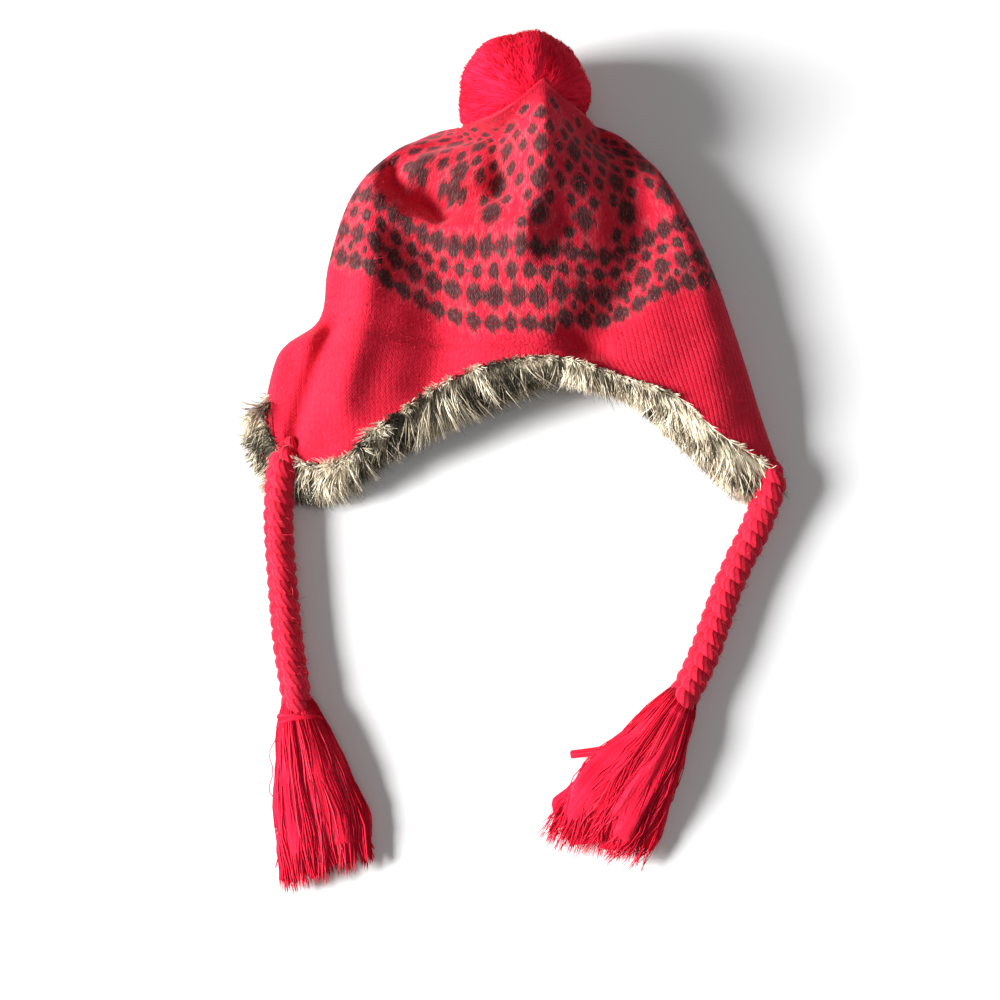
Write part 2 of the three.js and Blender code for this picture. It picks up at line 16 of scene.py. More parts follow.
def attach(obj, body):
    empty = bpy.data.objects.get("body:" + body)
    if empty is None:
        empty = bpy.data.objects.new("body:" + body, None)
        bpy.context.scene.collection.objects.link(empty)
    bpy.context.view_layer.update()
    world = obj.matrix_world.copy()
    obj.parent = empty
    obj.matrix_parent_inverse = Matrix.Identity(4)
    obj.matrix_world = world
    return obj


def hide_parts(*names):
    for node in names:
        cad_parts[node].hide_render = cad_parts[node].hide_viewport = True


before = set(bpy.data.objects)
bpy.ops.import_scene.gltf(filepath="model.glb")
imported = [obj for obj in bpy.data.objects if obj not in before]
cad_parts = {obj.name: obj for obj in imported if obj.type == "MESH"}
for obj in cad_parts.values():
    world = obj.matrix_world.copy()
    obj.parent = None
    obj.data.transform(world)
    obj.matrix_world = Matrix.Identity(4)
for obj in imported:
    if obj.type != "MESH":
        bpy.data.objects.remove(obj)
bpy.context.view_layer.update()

Place = tuple[float, float, float]
LOG = logging.getLogger("ski_hat")

MM = 0.001
ORIGIN_MM = np.array([-3.82, -0.75, 0.0])
TABLE_CLEARANCE_MM = 0.4
SEED = 41
KNOT_GAP = 1e-3
WELD_GAP = 1e-6
TINY = 1e-12


def metres(points: np.ndarray) -> np.ndarray:
    """Turns millimetres of the shape tables into metres of the part's own frame.

    Args:
        points: Places in millimetres, in the last axis.

    Returns:
        The same places in metres, from the middle of the hat's plan.
    """
    return (np.asarray(points, float) - ORIGIN_MM) * MM


def smooth(value: np.ndarray) -> np.ndarray:
    """Returns an S-curve from 0 to 1 of a value, held at both ends."""
    held = np.clip(value, 0, 1)
    return held * held * (3 - 2 * held)


def unit(vectors: np.ndarray) -> np.ndarray:
    """Returns the vectors of the last axis at length one."""
    return vectors / (np.linalg.norm(vectors, axis=-1, keepdims=True) + TINY)


# Hem of the face in mm, from the right flap tip over the forehead to the left flap. Each row holds a place of
# the hem, then the edge of the fur beside it.
FACE_HEM = (
    (167, -134, 14, 165, -141, 9), (145, -119, 26, 144, -151, 13), (123, -106, 33, 121, -137, 17),
    (101, -87, 38, 91, -109, 21), (64, -73, 40, 61, -83, 27), (27, -62, 41, 25, -75, 29),
    (-10, -64, 41, -6, -84, 27), (-47, -78, 38, -41, -98, 24), (-82, -102, 32, -76, -119, 20),
    (-116, -126, 23, -119, -146, 13), (-145, -117, 15, -150, -142, 8), (-155, -104, 11, -170, -120, 7),
    (-160, -89, 9, -175, -97, 7),
)

# Hem of the back layer, from the left flap under the hat to the right flap tip, in the same columns.
NAPE_HEM = (
    (-160, -89, 9, -175, -97, 7), (-137, -67, 3, -158, -77, 5), (-75, -52, 1.5, -77, -66, 6),
    (15, -47, 1.5, 15, -62, 6), (111, -75, 1.5, 104, -90, 6), (152, -109, 4, 140, -128, 5),
    (167, -134, 14, 165, -141, 9),
)


@dataclass(frozen=True)
class Course:
    """A closed course of the knitting: its ends on the outline, and the middles of its face and its back."""

    left: Place
    right: Place
    face: Place
    peak: float
    back_y: float
    back_z: float
    rows: int


COURSES = (
    Course((-150.5, -53, 10), (148, -75, 15), (21, -58, 43), 0.7, -38, 1, 2),
    Course((-125, -32, 14), (136.5, -37, 17), (18, -53, 44), 0.7, -28, 1, 3),
    Course((-119, 4, 18), (127, -8, 18), (15, -46, 45.5), 0.7, -10, 1, 5),
    Course((-103, 51, 19), (110, 31, 20), (15, 7, 49), 0.7, 26, 1, 4),
    Course((-76, 79, 18), (89.5, 65, 21), (15, 44, 54), 0.8, 52, 1, 4),
    Course((-50, 93, 16), (68, 86, 24), (15, 71, 72), 2.6, 66, 1.5, 3),
)
HEM_ROWS = 3

# Rim of the crown round the pompom: over its top on the face, and under it at the back.
FACE_RIM = (
    (47, 97, 20), (47, 90, 42), (38, 90, 64), (26, 93, 79), (16.5, 100.5, 86), (9, 95, 86),
    (2, 89.5, 84), (-7, 84, 79), (-18, 82, 68), (-33, 88, 42), (-31, 97, 15),
)
BACK_RIM = ((-31, 97, 15), (-24, 84, 8), (0, 74, 7), (28, 77, 7), (40, 86, 12), (47, 97, 20))


@dataclass(frozen=True)
class Fold:
    """A soft ridge, or a crease where its height is negative, along a bend through three places."""

    start: tuple[float, float]
    via: tuple[float, float]
    end: tuple[float, float]
    height: float
    width: float


FOLDS = {
    "ridge_left": Fold((-91, 47), (-92, -12), (-108, -88), 8, 12),
    "valley_left": Fold((-62, 18), (-48, -22), (-54, -72), -14, 22),
    "hollow_left": Fold((-26, -2), (-16, -24), (-26, -58), -5, 20),
    "ridge_middle": Fold((17, 88), (15, 50), (4, 4), 11, 12),
    "valley_right": Fold((46, 86), (75, 22), (46, -48), -14, 19),
    "ridge_right": Fold((90, 62), (116, -10), (124, -86), 4, 15),
    "pocket": Fold((-76, 54), (-42, 40), (-8, 48), -14, 10),
    "pocket_pit": Fold((-57, 48), (-52, 39), (-47, 31), -9, 7),
    "pocket_middle": Fold((-46, 58), (-30, 65), (-16, 70), -5, 11),
    "pocket_side": Fold((-8, 74), (-10, 60), (-10, 48), -7, 9),
    "roll": Fold((-74, 30), (-40, 19), (4, 17), 7, 8),
    "crown_crease": Fold((-12, 80), (-42, 80), (-78, 66), -9, 6),
    "flap_crease": Fold((-116, -40), (-129, -73), (-140, -108), -8, 6),
    "flap_flare": Fold((-140, -62), (-148, -78), (-152, -92), -5, 11),
    "brow_dent": Fold((33, -47), (42, -53), (54, -56), -4, 6),
}

# Slow waves of the cloth: height in mm, turns across and up in radians for each mm, and where each starts.
UNDULATIONS = ((0.55, 0.11, 0.06, 0.4), (0.45, -0.05, 0.13, 1.7), (0.35, 0.17, -0.15, 2.9))

# Middle line of each braid from the flap tip to its knot.
TIE_LEFT_ROUTE = (
    (-141.0, -104.0, 7), (-143.6, -114.0, 12), (-146.6, -125.0, 13.4), (-148.1, -134.9, 12.4),
    (-148.7, -145.3, 11), (-149.3, -156.5, 9.9), (-148.6, -167.6, 9.9), (-147.7, -178.7, 9.9),
    (-146.4, -190.4, 9.9), (-145.2, -202.1, 9.9), (-143.9, -213.6, 9.9), (-142.7, -225.2, 9.9),
    (-141.4, -236.7, 9.9), (-139.6, -248.1, 9.9), (-137.7, -259.5, 9.9), (-135.9, -270.8, 10.4),
    (-134.6, -278.5, 12.0),
)
TIE_RIGHT_ROUTE = (
    (156.8, -117.0, 10), (159.4, -127.5, 14.5), (158.9, -138.5, 14), (155.9, -147.3, 12.2),
    (152.8, -155.3, 10.8), (149.4, -163.9, 9.9), (145.0, -172.6, 9.9), (140.4, -181.2, 9.9),
    (136.5, -189.8, 9.9), (132.5, -199.0, 9.9), (128.8, -208.2, 9.9), (125.5, -217.9, 9.9),
    (121.8, -227.6, 9.9), (118.2, -237.3, 9.9), (114.0, -246.9, 9.9), (108.8, -257.1, 9.9),
    (103.1, -267.2, 10.4), (98.6, -274.2, 12.0),
)

# Cut yarn from each knot to its ends: middle of the bundle in plan, half its width and half its height.
TASSEL_LEFT_ROWS = (
    (-136.2, -268.5, 8.0, 8.5), (-133.6, -279.5, 13.2, 10.5), (-131.6, -289.5, 16, 10.5),
    (-128.8, -301.0, 18.8, 10.5), (-126.0, -315.0, 22.6, 10.5), (-122.6, -330.0, 26.0, 9.5),
    (-118.8, -345.0, 28.8, 8.5), (-117.0, -358.0, 27.6, 7.5),
)
TASSEL_RIGHT_ROWS = (
    (104.0, -265.4, 8.5, 8.5), (96.6, -278.0, 14, 10.5), (90.0, -289.0, 17, 11),
    (82.0, -301.5, 21.5, 11), (74.0, -313.0, 25.5, 11), (66.8, -324.5, 28, 10.5),
    (59.8, -336.5, 29.5, 9.5), (54.0, -347.0, 29, 8),
)


def spline(points: np.ndarray, place: float) -> np.ndarray:
    """Finds a point between the listed ones, on the centripetal spline through them.

    Args:
        points: The points to pass through, in the first axis; each may be a whole row of places.
        place: Index of the wanted point, with its fraction.

    Returns:
        The point, or row of points, at that place.
    """
    last = len(points) - 1
    index = min(last - 1, max(0, math.floor(place)))
    share = place - index
    p1, p2 = points[index], points[index + 1]
    p0 = points[index - 1] if index > 0 else 2 * p1 - p2
    p3 = points[index + 2] if index + 2 <= last else 2 * p2 - p1
    pairs = ((p0, p1), (p1, p2), (p2, p3))
    gaps = (np.linalg.norm(b - a, axis=-1, keepdims=True) for a, b in pairs)
    before, span, after = (np.sqrt(gap) + KNOT_GAP for gap in gaps)
    slope_in = ((p1 - p0) / before - (p2 - p0) / (before + span) + (p2 - p1) / span) * span
    slope_out = ((p2 - p1) / span - (p3 - p1) / (span + after) + (p3 - p2) / after) * span
    square, cube = share**2, share**3
    ends = p1 * (1 - 3 * square + 2 * cube) + p2 * (3 * square - 2 * cube)
    return ends + slope_in * (share - 2 * square + cube) + slope_out * (cube - square)


def dense_spline(points: Sequence[Sequence[float]], steps: int) -> np.ndarray:
    """Returns a spline through the points as steps + 1 places."""
    held = np.array(points, float)
    return np.array([spline(held, (len(held) - 1) * k / steps) for k in range(steps + 1)])


def even_places(dense: np.ndarray, count: int, sideways_share: float = 0.0) -> np.ndarray:
    """Spreads places evenly along a dense line.

    Args:
        dense: The line's points.
        count: Number of stretches wanted.
        sideways_share: How much of the spread follows X alone.

    Returns:
        count + 1 indices into the line, with their fractions.
    """
    step = np.diff(dense, axis=0)
    length = (1 - sideways_share) * np.linalg.norm(step, axis=1) + sideways_share * np.abs(step[:, 0])
    run = np.concatenate([[0.0], np.cumsum(length)])
    return np.interp(np.linspace(0, run[-1], count + 1), run, np.arange(len(dense)))


def run_of(line: np.ndarray) -> np.ndarray:
    """Returns the length along a line up to each of its points."""
    return np.concatenate([[0.0], np.cumsum(np.linalg.norm(np.diff(line, axis=0), axis=1))])


def at_places(dense: np.ndarray, places: np.ndarray) -> np.ndarray:
    """Returns the points of a dense line at indices with fractions.

    Args:
        dense: The line's points.
        places: The indices.

    Returns:
        One point for each index.
    """
    index = np.minimum(len(dense) - 2, places.astype(int))
    share = (places - index)[:, None]
    return dense[index] * (1 - share) + dense[index + 1] * share


@dataclass
class KnitForm:
    """The lying shape of the knitting, as a point for each column round it and each course up it."""

    face_columns: int
    back_columns: int
    dense: int = 320
    back_pillow: float = 0.42
    hem_sideways: float = 0.6
    edge_fade: float = 0.09
    rim_fade: float = 0.8
    slope_step: float = 0.04
    fold_steps: int = 24
    stations: np.ndarray = field(init=False)
    fur_edge: np.ndarray = field(init=False)
    weight: np.ndarray = field(init=False)

    def __post_init__(self) -> None:
        """Lays out the closed courses that the surface passes through."""
        hem, self.fur_edge = self._hem_and_fur()
        rim = self._closed(dense_spline(FACE_RIM, self.dense), dense_spline(BACK_RIM, self.dense))
        self.stations = np.array([hem, *[self._section(course) for course in COURSES], rim])
        column = np.arange(self.columns)
        near = np.minimum(column, self.face_columns - column) / self.face_columns
        self.weight = np.where(column > self.face_columns, 0.0, smooth(near / self.edge_fade))
        self.fold_lines = [(fold, self._bend(fold)) for fold in FOLDS.values()]

    @property
    def columns(self) -> int:
        """Number of columns round the hat."""
        return self.face_columns + self.back_columns

    @property
    def top(self) -> int:
        """Place of the rim, counted in stations from the hem."""
        return len(self.stations) - 1

    def _closed(self, face: np.ndarray, back: np.ndarray) -> np.ndarray:
        """Joins a face line and a back line into one loop with evenly spread columns.

        Args:
            face: The line over the face, from right to left.
            back: The line under the hat, from left to right.

        Returns:
            One point for each column.
        """
        front = at_places(face, even_places(face, self.face_columns))
        rear = at_places(back, even_places(back, self.back_columns))
        return np.concatenate([front, rear[1:-1]])

    def _section(self, course: Course) -> np.ndarray:
        """Returns the loop of one course of the table.

        Args:
            course: The course.

        Returns:
            One point for each column, in millimetres.
        """
        angle = np.linspace(0, math.pi, self.dense + 1)
        side, depth = np.cos(angle), np.abs(np.sin(angle))
        left, right, face = (np.array(p, float) for p in (course.left, course.right, course.face))
        share = ((1 - side) / 2)[:, None]
        chord = right * (1 - share) + left * share
        middle = (left + right) / 2
        front, rear = chord.copy(), chord.copy()
        front[:, :2] += (face[:2] - middle[:2]) * depth[:, None] ** 2
        front[:, 2] += (face[2] - chord[:, 2]) * depth**course.peak
        rear[:, 1] += (course.back_y - middle[1]) * depth**2
        rear[:, 2] += (course.back_z - chord[:, 2]) * depth**self.back_pillow
        return self._closed(front, rear[::-1])

    def _hem_and_fur(self) -> tuple[np.ndarray, np.ndarray]:
        """Returns the hem's loop and the fur's edge beside it, column by column.

        Returns:
            The two loops, in millimetres.
        """
        face, nape = np.array(FACE_HEM, float), np.array(NAPE_HEM, float)
        parts = (slice(0, 3), slice(3, 6))
        lines = [dense_spline(rows[:, part], self.dense) for rows in (face, nape) for part in parts]
        front = even_places(lines[0], self.face_columns, self.hem_sideways)
        rear = even_places(lines[2], self.back_columns, self.hem_sideways)[1:-1]
        hem = np.concatenate([at_places(lines[0], front), at_places(lines[2], rear)])
        fur = np.concatenate([at_places(lines[1], front), at_places(lines[3], rear)])
        return hem, fur

    def _bend(self, fold: Fold) -> np.ndarray:
        """Returns the line of a fold in plan, through its three places.

        Args:
            fold: The fold.

        Returns:
            The points of the line.
        """
        start, via, end = (np.array(p, float) for p in (fold.start, fold.via, fold.end))
        handle = 2 * via - (start + end) / 2
        share = np.linspace(0, 1, self.fold_steps + 1)[:, None]
        return start * (1 - share) ** 2 + 2 * handle * share * (1 - share) + end * share**2

    def loop(self, place: float) -> np.ndarray:
        """Finds the knitting's surface along one closed course.

        Args:
            place: Station from the hem, with its fraction.

        Returns:
            One point for each column, in millimetres.
        """
        points = spline(self.stations, place)
        fade = self.weight * smooth(np.array((self.top - place) / self.rim_fade))
        lift = np.zeros(self.columns)
        for fold, line in self.fold_lines:
            along = np.diff(line, axis=0)
            away = points[:, None, :2] - line[None, :-1]
            share = np.clip((away * along).sum(-1) / (along * along).sum(-1), 0, 1)
            distance = np.linalg.norm(away - along * share[..., None], axis=-1).min(1)
            lift += fold.height * np.exp(-((distance / fold.width) ** 2))
        for size, across, along, start in UNDULATIONS:
            lift += size * np.sin(points[:, 0] * across + points[:, 1] * along + start)
        points[:, 2] += fade * lift
        return points

    def outward(self, place: float) -> np.ndarray:
        """Returns the outward direction of the knitting at each column of a course.

        Args:
            place: Station from the hem, with its fraction.

        Returns:
            One direction for each column.
        """
        here = self.loop(place)
        below, above = self.loop(max(0, place - self.slope_step)), self.loop(place + self.slope_step)
        around = np.roll(here, -1, axis=0) - np.roll(here, 1, axis=0)
        return unit(np.cross(above - below, around))


Colour = tuple[float, float, float]
Stop = tuple[float, Colour]


class Graph:
    """A material's node tree, built from Python expressions."""

    def __init__(self, name: str) -> None:
        """Starts an empty material of that name with its surface shader.

        Args:
            name: The material's name.
        """
        self.material = bpy.data.materials.new(name)
        self.material.use_nodes = True
        self.tree = self.material.node_tree
        self.tree.nodes.clear()
        self.output = self.tree.nodes.new("ShaderNodeOutputMaterial")
        self.shader = self.tree.nodes.new("ShaderNodeBsdfPrincipled")
        self.tree.links.new(self.shader.outputs[0], self.output.inputs["Surface"])

    def node(self, kind: str, settings: dict | None = None, inputs: dict | None = None) -> bpy.types.Node:
        """Adds any node.

        Args:
            kind: The node's type.
            settings: Its own settings, which are set first; a ramp's stops are given as "stops".
            inputs: Values or links of its sockets, by name or index.

        Returns:
            The new node.
        """
        node = self.tree.nodes.new(kind)
        for key, value in (settings or {}).items():
            if key == "stops":
                self._stops(node.color_ramp, value)
            else:
                setattr(node, key, value)
        for key, value in (inputs or {}).items():
            self.feed(node.inputs[key], value)
        return node

    def _stops(self, ramp: bpy.types.ColorRamp, stops: Sequence[Stop]) -> None:
        """Gives a colour ramp its stops.

        Args:
            ramp: The ramp.
            stops: Position and colour of each stop.
        """
        while len(ramp.elements) < len(stops):
            ramp.elements.new(0.5)
        for element, (position, colour) in zip(ramp.elements, stops):
            element.position = position
            element.color = (*colour, 1)

    def feed(self, socket: bpy.types.NodeSocket, value: "Signal | float | Sequence[float]") -> None:
        """Links a signal to a socket, or sets the socket's own value.

        Args:
            socket: The socket.
            value: A signal, a number, or the parts of a vector or a colour.
        """
        if isinstance(value, Signal):
            self.tree.links.new(value.socket, socket)
        elif isinstance(value, (int, float)):
            socket.default_value = value
        else:
            numbers = list(value)
            wanted = len(socket.default_value)
            socket.default_value = (numbers + [1.0])[:wanted] if len(numbers) < wanted else numbers

    def signal(self, kind: str, output: int | str = 0, settings: dict | None = None,
               inputs: dict | None = None) -> "Signal":
        """Adds a node and returns one of its outputs as a signal."""
        return Signal(self, self.node(kind, settings, inputs).outputs[output])

    def mix(self, first: "Signal | Colour", second: "Signal | Colour", share: "Signal | float") -> "Signal":
        """Mixes two colours.

        Args:
            first: Colour where share is 0.
            second: Colour where share is 1.
            share: The factor.

        Returns:
            The mixed colour.
        """
        node = self.node("ShaderNodeMix", {"data_type": "RGBA"})
        self.feed(node.inputs[0], share)
        self.feed(node.inputs[6], first)
        self.feed(node.inputs[7], second)
        return Signal(self, node.outputs[2])

    def noise(self, scale: float, detail: float = 2.0, roughness: float = 0.5,
              vector: "Signal | None" = None) -> "Signal":
        """Returns a noise value from 0 to 1 in object space, or along another vector.

        Args:
            scale: Its scale.
            detail: Number of finer layers.
            roughness: Their weight.
            vector: The space it is taken in, if not the object's own.

        Returns:
            The noise.
        """
        source = vector or self.signal("ShaderNodeTexCoord", "Object")
        return self.signal("ShaderNodeTexNoise", "Fac", None,
                           {"Vector": source, "Scale": scale, "Detail": detail, "Roughness": roughness})

    def bump(self, height: "Signal", distance: float, strength: float = 1.0) -> None:
        """Feeds a height to the surface's normal."""
        inputs = {"Height": height, "Distance": distance, "Strength": strength}
        self.feed(self.shader.inputs["Normal"], self.signal("ShaderNodeBump", 0, None, inputs))

    def set(self, **values: "Signal | float | Sequence[float]") -> None:
        """Sets or links sockets of the surface shader; an underscore stands for a space."""
        for key, value in values.items():
            self.feed(self.shader.inputs[key.replace("_", " ")], value)


def _method(operation: str, reflected: bool = False) -> "Callable[[Signal, Signal | float], Signal]":
    """Makes an operator of Signal from an operation of the Math node.

    Args:
        operation: The Math node's operation.
        reflected: Whether the other value goes first.

    Returns:
        The operator.
    """
    def operator(signal: "Signal", other: "Signal | float") -> "Signal":
        """Adds the Math node and returns its result."""
        return signal.math(operation, first=other) if reflected else signal.math(operation, other)
    return operator


def _function(operation: str) -> "Callable[[Signal], Signal]":
    """Makes a function of one signal from an operation of the Math node."""
    return lambda signal: signal.math(operation)


class Signal:
    """An output socket that takes part in arithmetic."""

    def __init__(self, graph: Graph, socket: bpy.types.NodeSocket) -> None:
        """Wraps a socket of a graph."""
        self.graph = graph
        self.socket = socket

    def math(self, operation: str, *others: "Signal | float", first: "Signal | float | None" = None,
             clamp: bool = False) -> "Signal":
        """Adds a Math node on this signal.

        Args:
            operation: The Math node's operation.
            others: Its further inputs.
            first: What goes before this signal, for reflected forms.
            clamp: Whether the result is held from 0 to 1.

        Returns:
            The result.
        """
        terms = [self, *others] if first is None else [first, self, *others]
        inputs = dict(enumerate(terms))
        return self.graph.signal("ShaderNodeMath", 0, {"operation": operation, "use_clamp": clamp}, inputs)

    __add__ = __radd__ = _method("ADD")
    __sub__ = _method("SUBTRACT")
    __rsub__ = _method("SUBTRACT", reflected=True)
    __mul__ = __rmul__ = _method("MULTIPLY")
    __truediv__ = _method("DIVIDE")
    __rtruediv__ = _method("DIVIDE", reflected=True)
    __pow__ = _method("POWER")
    __gt__ = _method("GREATER_THAN")
    __lt__ = _method("LESS_THAN")
    largest = _method("MAXIMUM")
    __abs__ = _function("ABSOLUTE")
    floor = _function("FLOOR")
    fraction = _function("FRACT")

    def held(self) -> "Signal":
        """Returns the signal held from 0 to 1."""
        return self.math("ADD", 0.0, clamp=True)

    def between(self, low: float, high: float) -> "Signal":
        """Returns how far the signal has come from low to high, held from 0 to 1."""
        return ((self - low) / (high - low)).held()


def split_uv(graph: Graph, name: str) -> tuple[Signal, Signal]:
    """Returns the two parts of a UV map as signals.

    Args:
        graph: The material.
        name: Name of the UV map.

    Returns:
        Its part round or across, then its part along.
    """
    uv = graph.signal("ShaderNodeUVMap", 0, {"uv_map": name})
    parts = graph.node("ShaderNodeSeparateXYZ", None, {0: uv})
    return Signal(graph, parts.outputs[0]), Signal(graph, parts.outputs[1])


@dataclass(frozen=True)
class DotBand:
    """One round of knitted dots, counted in courses from the foot of the pattern and in wales from the right.

    A dot sits at the wale "at", and one after each repeat. Where "wales" is given, only those are dotted.
    """

    course: float
    half_height: float
    half_width: float
    repeat: float
    at: float
    wales: tuple[float, float] | None = None


YOKE = (
    DotBand(3.2, 3.4, 2.5, 4, 2.5),
    DotBand(6.8, 1.5, 1.0, 4, 0.5, (0, 40)),
    DotBand(6.8, 1.5, 1.0, 4, 0.5, (78, 192)),
    DotBand(10.4, 3.4, 2.7, 4.8, 0.8),
    DotBand(15.7, 2.3, 1.8, 4, 2),
    DotBand(20.6, 3.2, 2.4, 4, 0),
    DotBand(25.2, 1.9, 1.8, 12, 0, (14, 50)),
    DotBand(28.6, 3.9, 3.2, 12, 8, (0, 60)),
    DotBand(28.6, 3.9, 3.2, 12, 8, (86, 192)),
    DotBand(33.0, 3.4, 3.2, 12, 8, (60, 86)),
    DotBand(32.6, 2.2, 1.7, 6, 5),
    DotBand(36.8, 3.8, 3.2, 12, 8),
    DotBand(37.4, 2.4, 1.9, 12, 2),
    DotBand(41.0, 2.2, 1.8, 6, 5),
    DotBand(45.6, 3.7, 3.3, 12, 8),
    DotBand(46.0, 2.2, 2.0, 12, 2),
    DotBand(50.0, 2.2, 2.1, 6, 5),
    DotBand(53.8, 2.3, 3.0, 12, 8),
    DotBand(57.8, 2.0, 2.4, 12, 2),
)


# How far the courses drift round the face: wale, then courses at the foot of the pattern and at its top.
COURSE_DRIFT = (
    (0, 0.0, 0.5), (7, -1.0, 1.0), (12, 2.4, 2.0), (16, 4.4, 2.2), (20, 4.2, 1.6),
    (25, 3.0, -0.8), (29, 1.8, -1.1), (34, 2.2, 0.5), (40.4, 3.2, 0.8), (41.6, -0.6, 0.4),
    (48, 0.0, 0.2), (53, -1.3, 0.0), (59, -1.6, -1.4), (64, -0.8, -2.3), (71, -0.1, -2.3),
    (77, 0.2, -1.3), (84, 0.9, 0.4), (90, 0.0, 0.5), (96, 0.0, 0.5), (192, 0.0, 0.5),
)


@dataclass(frozen=True)
class KnitFinish:
    """Red stockinette with a charcoal dotted yoke. UV is counted in wales and courses."""

    red: Colour = (0.72, 0.020, 0.052)
    deep_red: Colour = (0.50, 0.004, 0.018)
    charcoal: Colour = (0.020, 0.014, 0.014)
    halo: Colour = (0.22, 0.14, 0.14)
    haze: Colour = (0.60, 0.20, 0.22)
    # Near-black red, painted as shade in the grooves between the wales.
    gap: Colour = (0.03, 0.0, 0.004)
    haze_share: float = 0.62
    stitch_slant: float = 0.85
    roundness: float = 1.3
    stitch_share: float = 0.55

    def material(self) -> bpy.types.Material:
        """Builds the knitted material.

        Returns:
            The finished material.
        """
        graph = Graph("knit_stockinette")
        wale, course = split_uv(graph, "knit")
        leg = abs(wale.fraction() - 0.5) * 2
        slanted = course + leg * self.stitch_slant
        share = self.stitch_share
        strands = graph.noise(1.0, 4.0, 0.7, self._strand_space(graph, (3.2, 0.55, 1.0)))
        tufts = graph.noise(1.0, 3.0, 0.6, self._strand_space(graph, (0.9, 0.24, 1.0)))
        dots = self._dots((wale.floor() + 0.5) * share + wale * (1 - share),
                          (slanted.floor() + 0.5) * share + (course + 0.4) * (1 - share))
        fuzz = graph.noise(420, 3.0, 0.65)
        blotch = graph.noise(28, 3.0, 0.5)
        worn = (fuzz * 0.5 + blotch * 0.25 + strands * 0.5).between(0.34, 0.80)
        red = graph.mix(self.deep_red, self.red, worn)
        grey = graph.mix(self.charcoal, self.halo, strands.between(0.48, 0.80) * 0.75)
        edge = (dots + (strands - 0.5) * 2.0 + (tufts - 0.5) * 1.5).between(-0.12, 0.32)
        ribbed = 0.13 + wale.between(60, 36) * wale.between(-8, 4) * course.between(2, -6) * 0.30
        # Painted shade: the grooves between the legs of each wale are darkened to a near-black red, most where
        # the wales are ribbed.
        groove = ((leg - 0.58) / 0.42).held() * (0.06 + strands * 0.40) * ribbed
        haze = (dots + 1.1).held() * (strands + tufts - 0.5).between(0.42, 0.85)
        hazed = graph.mix(red, self.haze, haze * course.between(-3, 2) * self.haze_share)
        colour = graph.mix(graph.mix(hazed, grey, edge * 0.94), self.gap, groove)
        stitch = (slanted.fraction() - 0.5) * 2
        height = (1 - leg**3) * ribbed * 1.3 + (1 - stitch * stitch) * 0.25 + fuzz * 0.55 + strands * 0.6
        graph.bump(height, 0.0010, 0.7)
        graph.set(Base_Color=colour, Roughness=0.95, Sheen_Weight=0.35, Sheen_Roughness=0.35,
                  Sheen_Tint=(1.0, 0.36, 0.42, 1.0), Specular_IOR_Level=0.15)
        return graph.material

    def _strand_space(self, graph: Graph, scale: Place) -> Signal:
        """Returns a space stretched along the courses, in which fuzz runs in short upright hairs."""
        uv = graph.signal("ShaderNodeUVMap", 0, {"uv_map": "knit"})
        return graph.signal("ShaderNodeMapping", 0, None, {"Vector": uv, "Scale": scale})

    def _dots(self, wale: Signal, course: Signal) -> Signal:
        """Returns a field that is above 0 inside the charcoal dots, and 1 at their middles.

        Args:
            wale: Wales from the right, stepped at the stitches.
            course: Courses from the foot of the pattern, stepped likewise.

        Returns:
            The field.
        """
        dots: Signal | None = None
        for band in YOKE:
            across = abs(((wale - band.at) / band.repeat + 0.5).fraction() - 0.5) * band.repeat
            inside = 1 - ((across / band.half_width) ** self.roundness
                          + (abs(course - band.course) / band.half_height) ** self.roundness)
            if band.wales:
                low, high = band.wales
                inside = inside - ((wale < low).largest(wale > high)) * 4
            dots = inside if dots is None else dots.largest(inside)
        return dots.largest(-1.5)


@dataclass(frozen=True)
class YarnFinish:
    """Plump wool strands: UV runs round a strand and along it in mm, and each strand has its tone."""

    name: str = "tie_yarn"
    light: Colour = (0.80, 0.022, 0.060)
    dark: Colour = (0.50, 0.004, 0.018)
    plies: float = 9.0
    # How much the grooves between the plies are darkened, as painted shade.
    ply_pitch_mm: float = 60.0
    ply_groove_shade: float = 0.35
    sheen: float = 0.4

    def material(self) -> bpy.types.Material:
        """Builds the yarn material.

        Returns:
            The finished material.
        """
        graph = Graph(self.name)
        around, along = split_uv(graph, "yarn")
        tone = graph.signal("ShaderNodeAttribute", "Fac", {"attribute_name": "tone"})
        twist = ((around + along / self.ply_pitch_mm) * self.plies).fraction()
        groove = abs(twist - 0.5) * 2
        fuzz = graph.noise(520, 3.0, 0.6)
        blotch = graph.noise(90, 3.0, 0.6)
        # Painted shade: the grooves between the plies pull the colour towards the dark red.
        share = (tone * 0.5 + fuzz * 0.4 + blotch * 0.35 - groove * self.ply_groove_shade).between(0.20, 0.85)
        graph.bump(1 - groove * groove + fuzz * 0.6 + blotch * 0.5, 0.0006, 0.7)
        graph.set(Base_Color=graph.mix(self.dark, self.light, share), Roughness=0.9, Sheen_Weight=self.sheen,
                  Sheen_Roughness=0.35, Sheen_Tint=(1.0, 0.4, 0.46, 1.0), Specular_IOR_Level=0.2)
        return graph.material


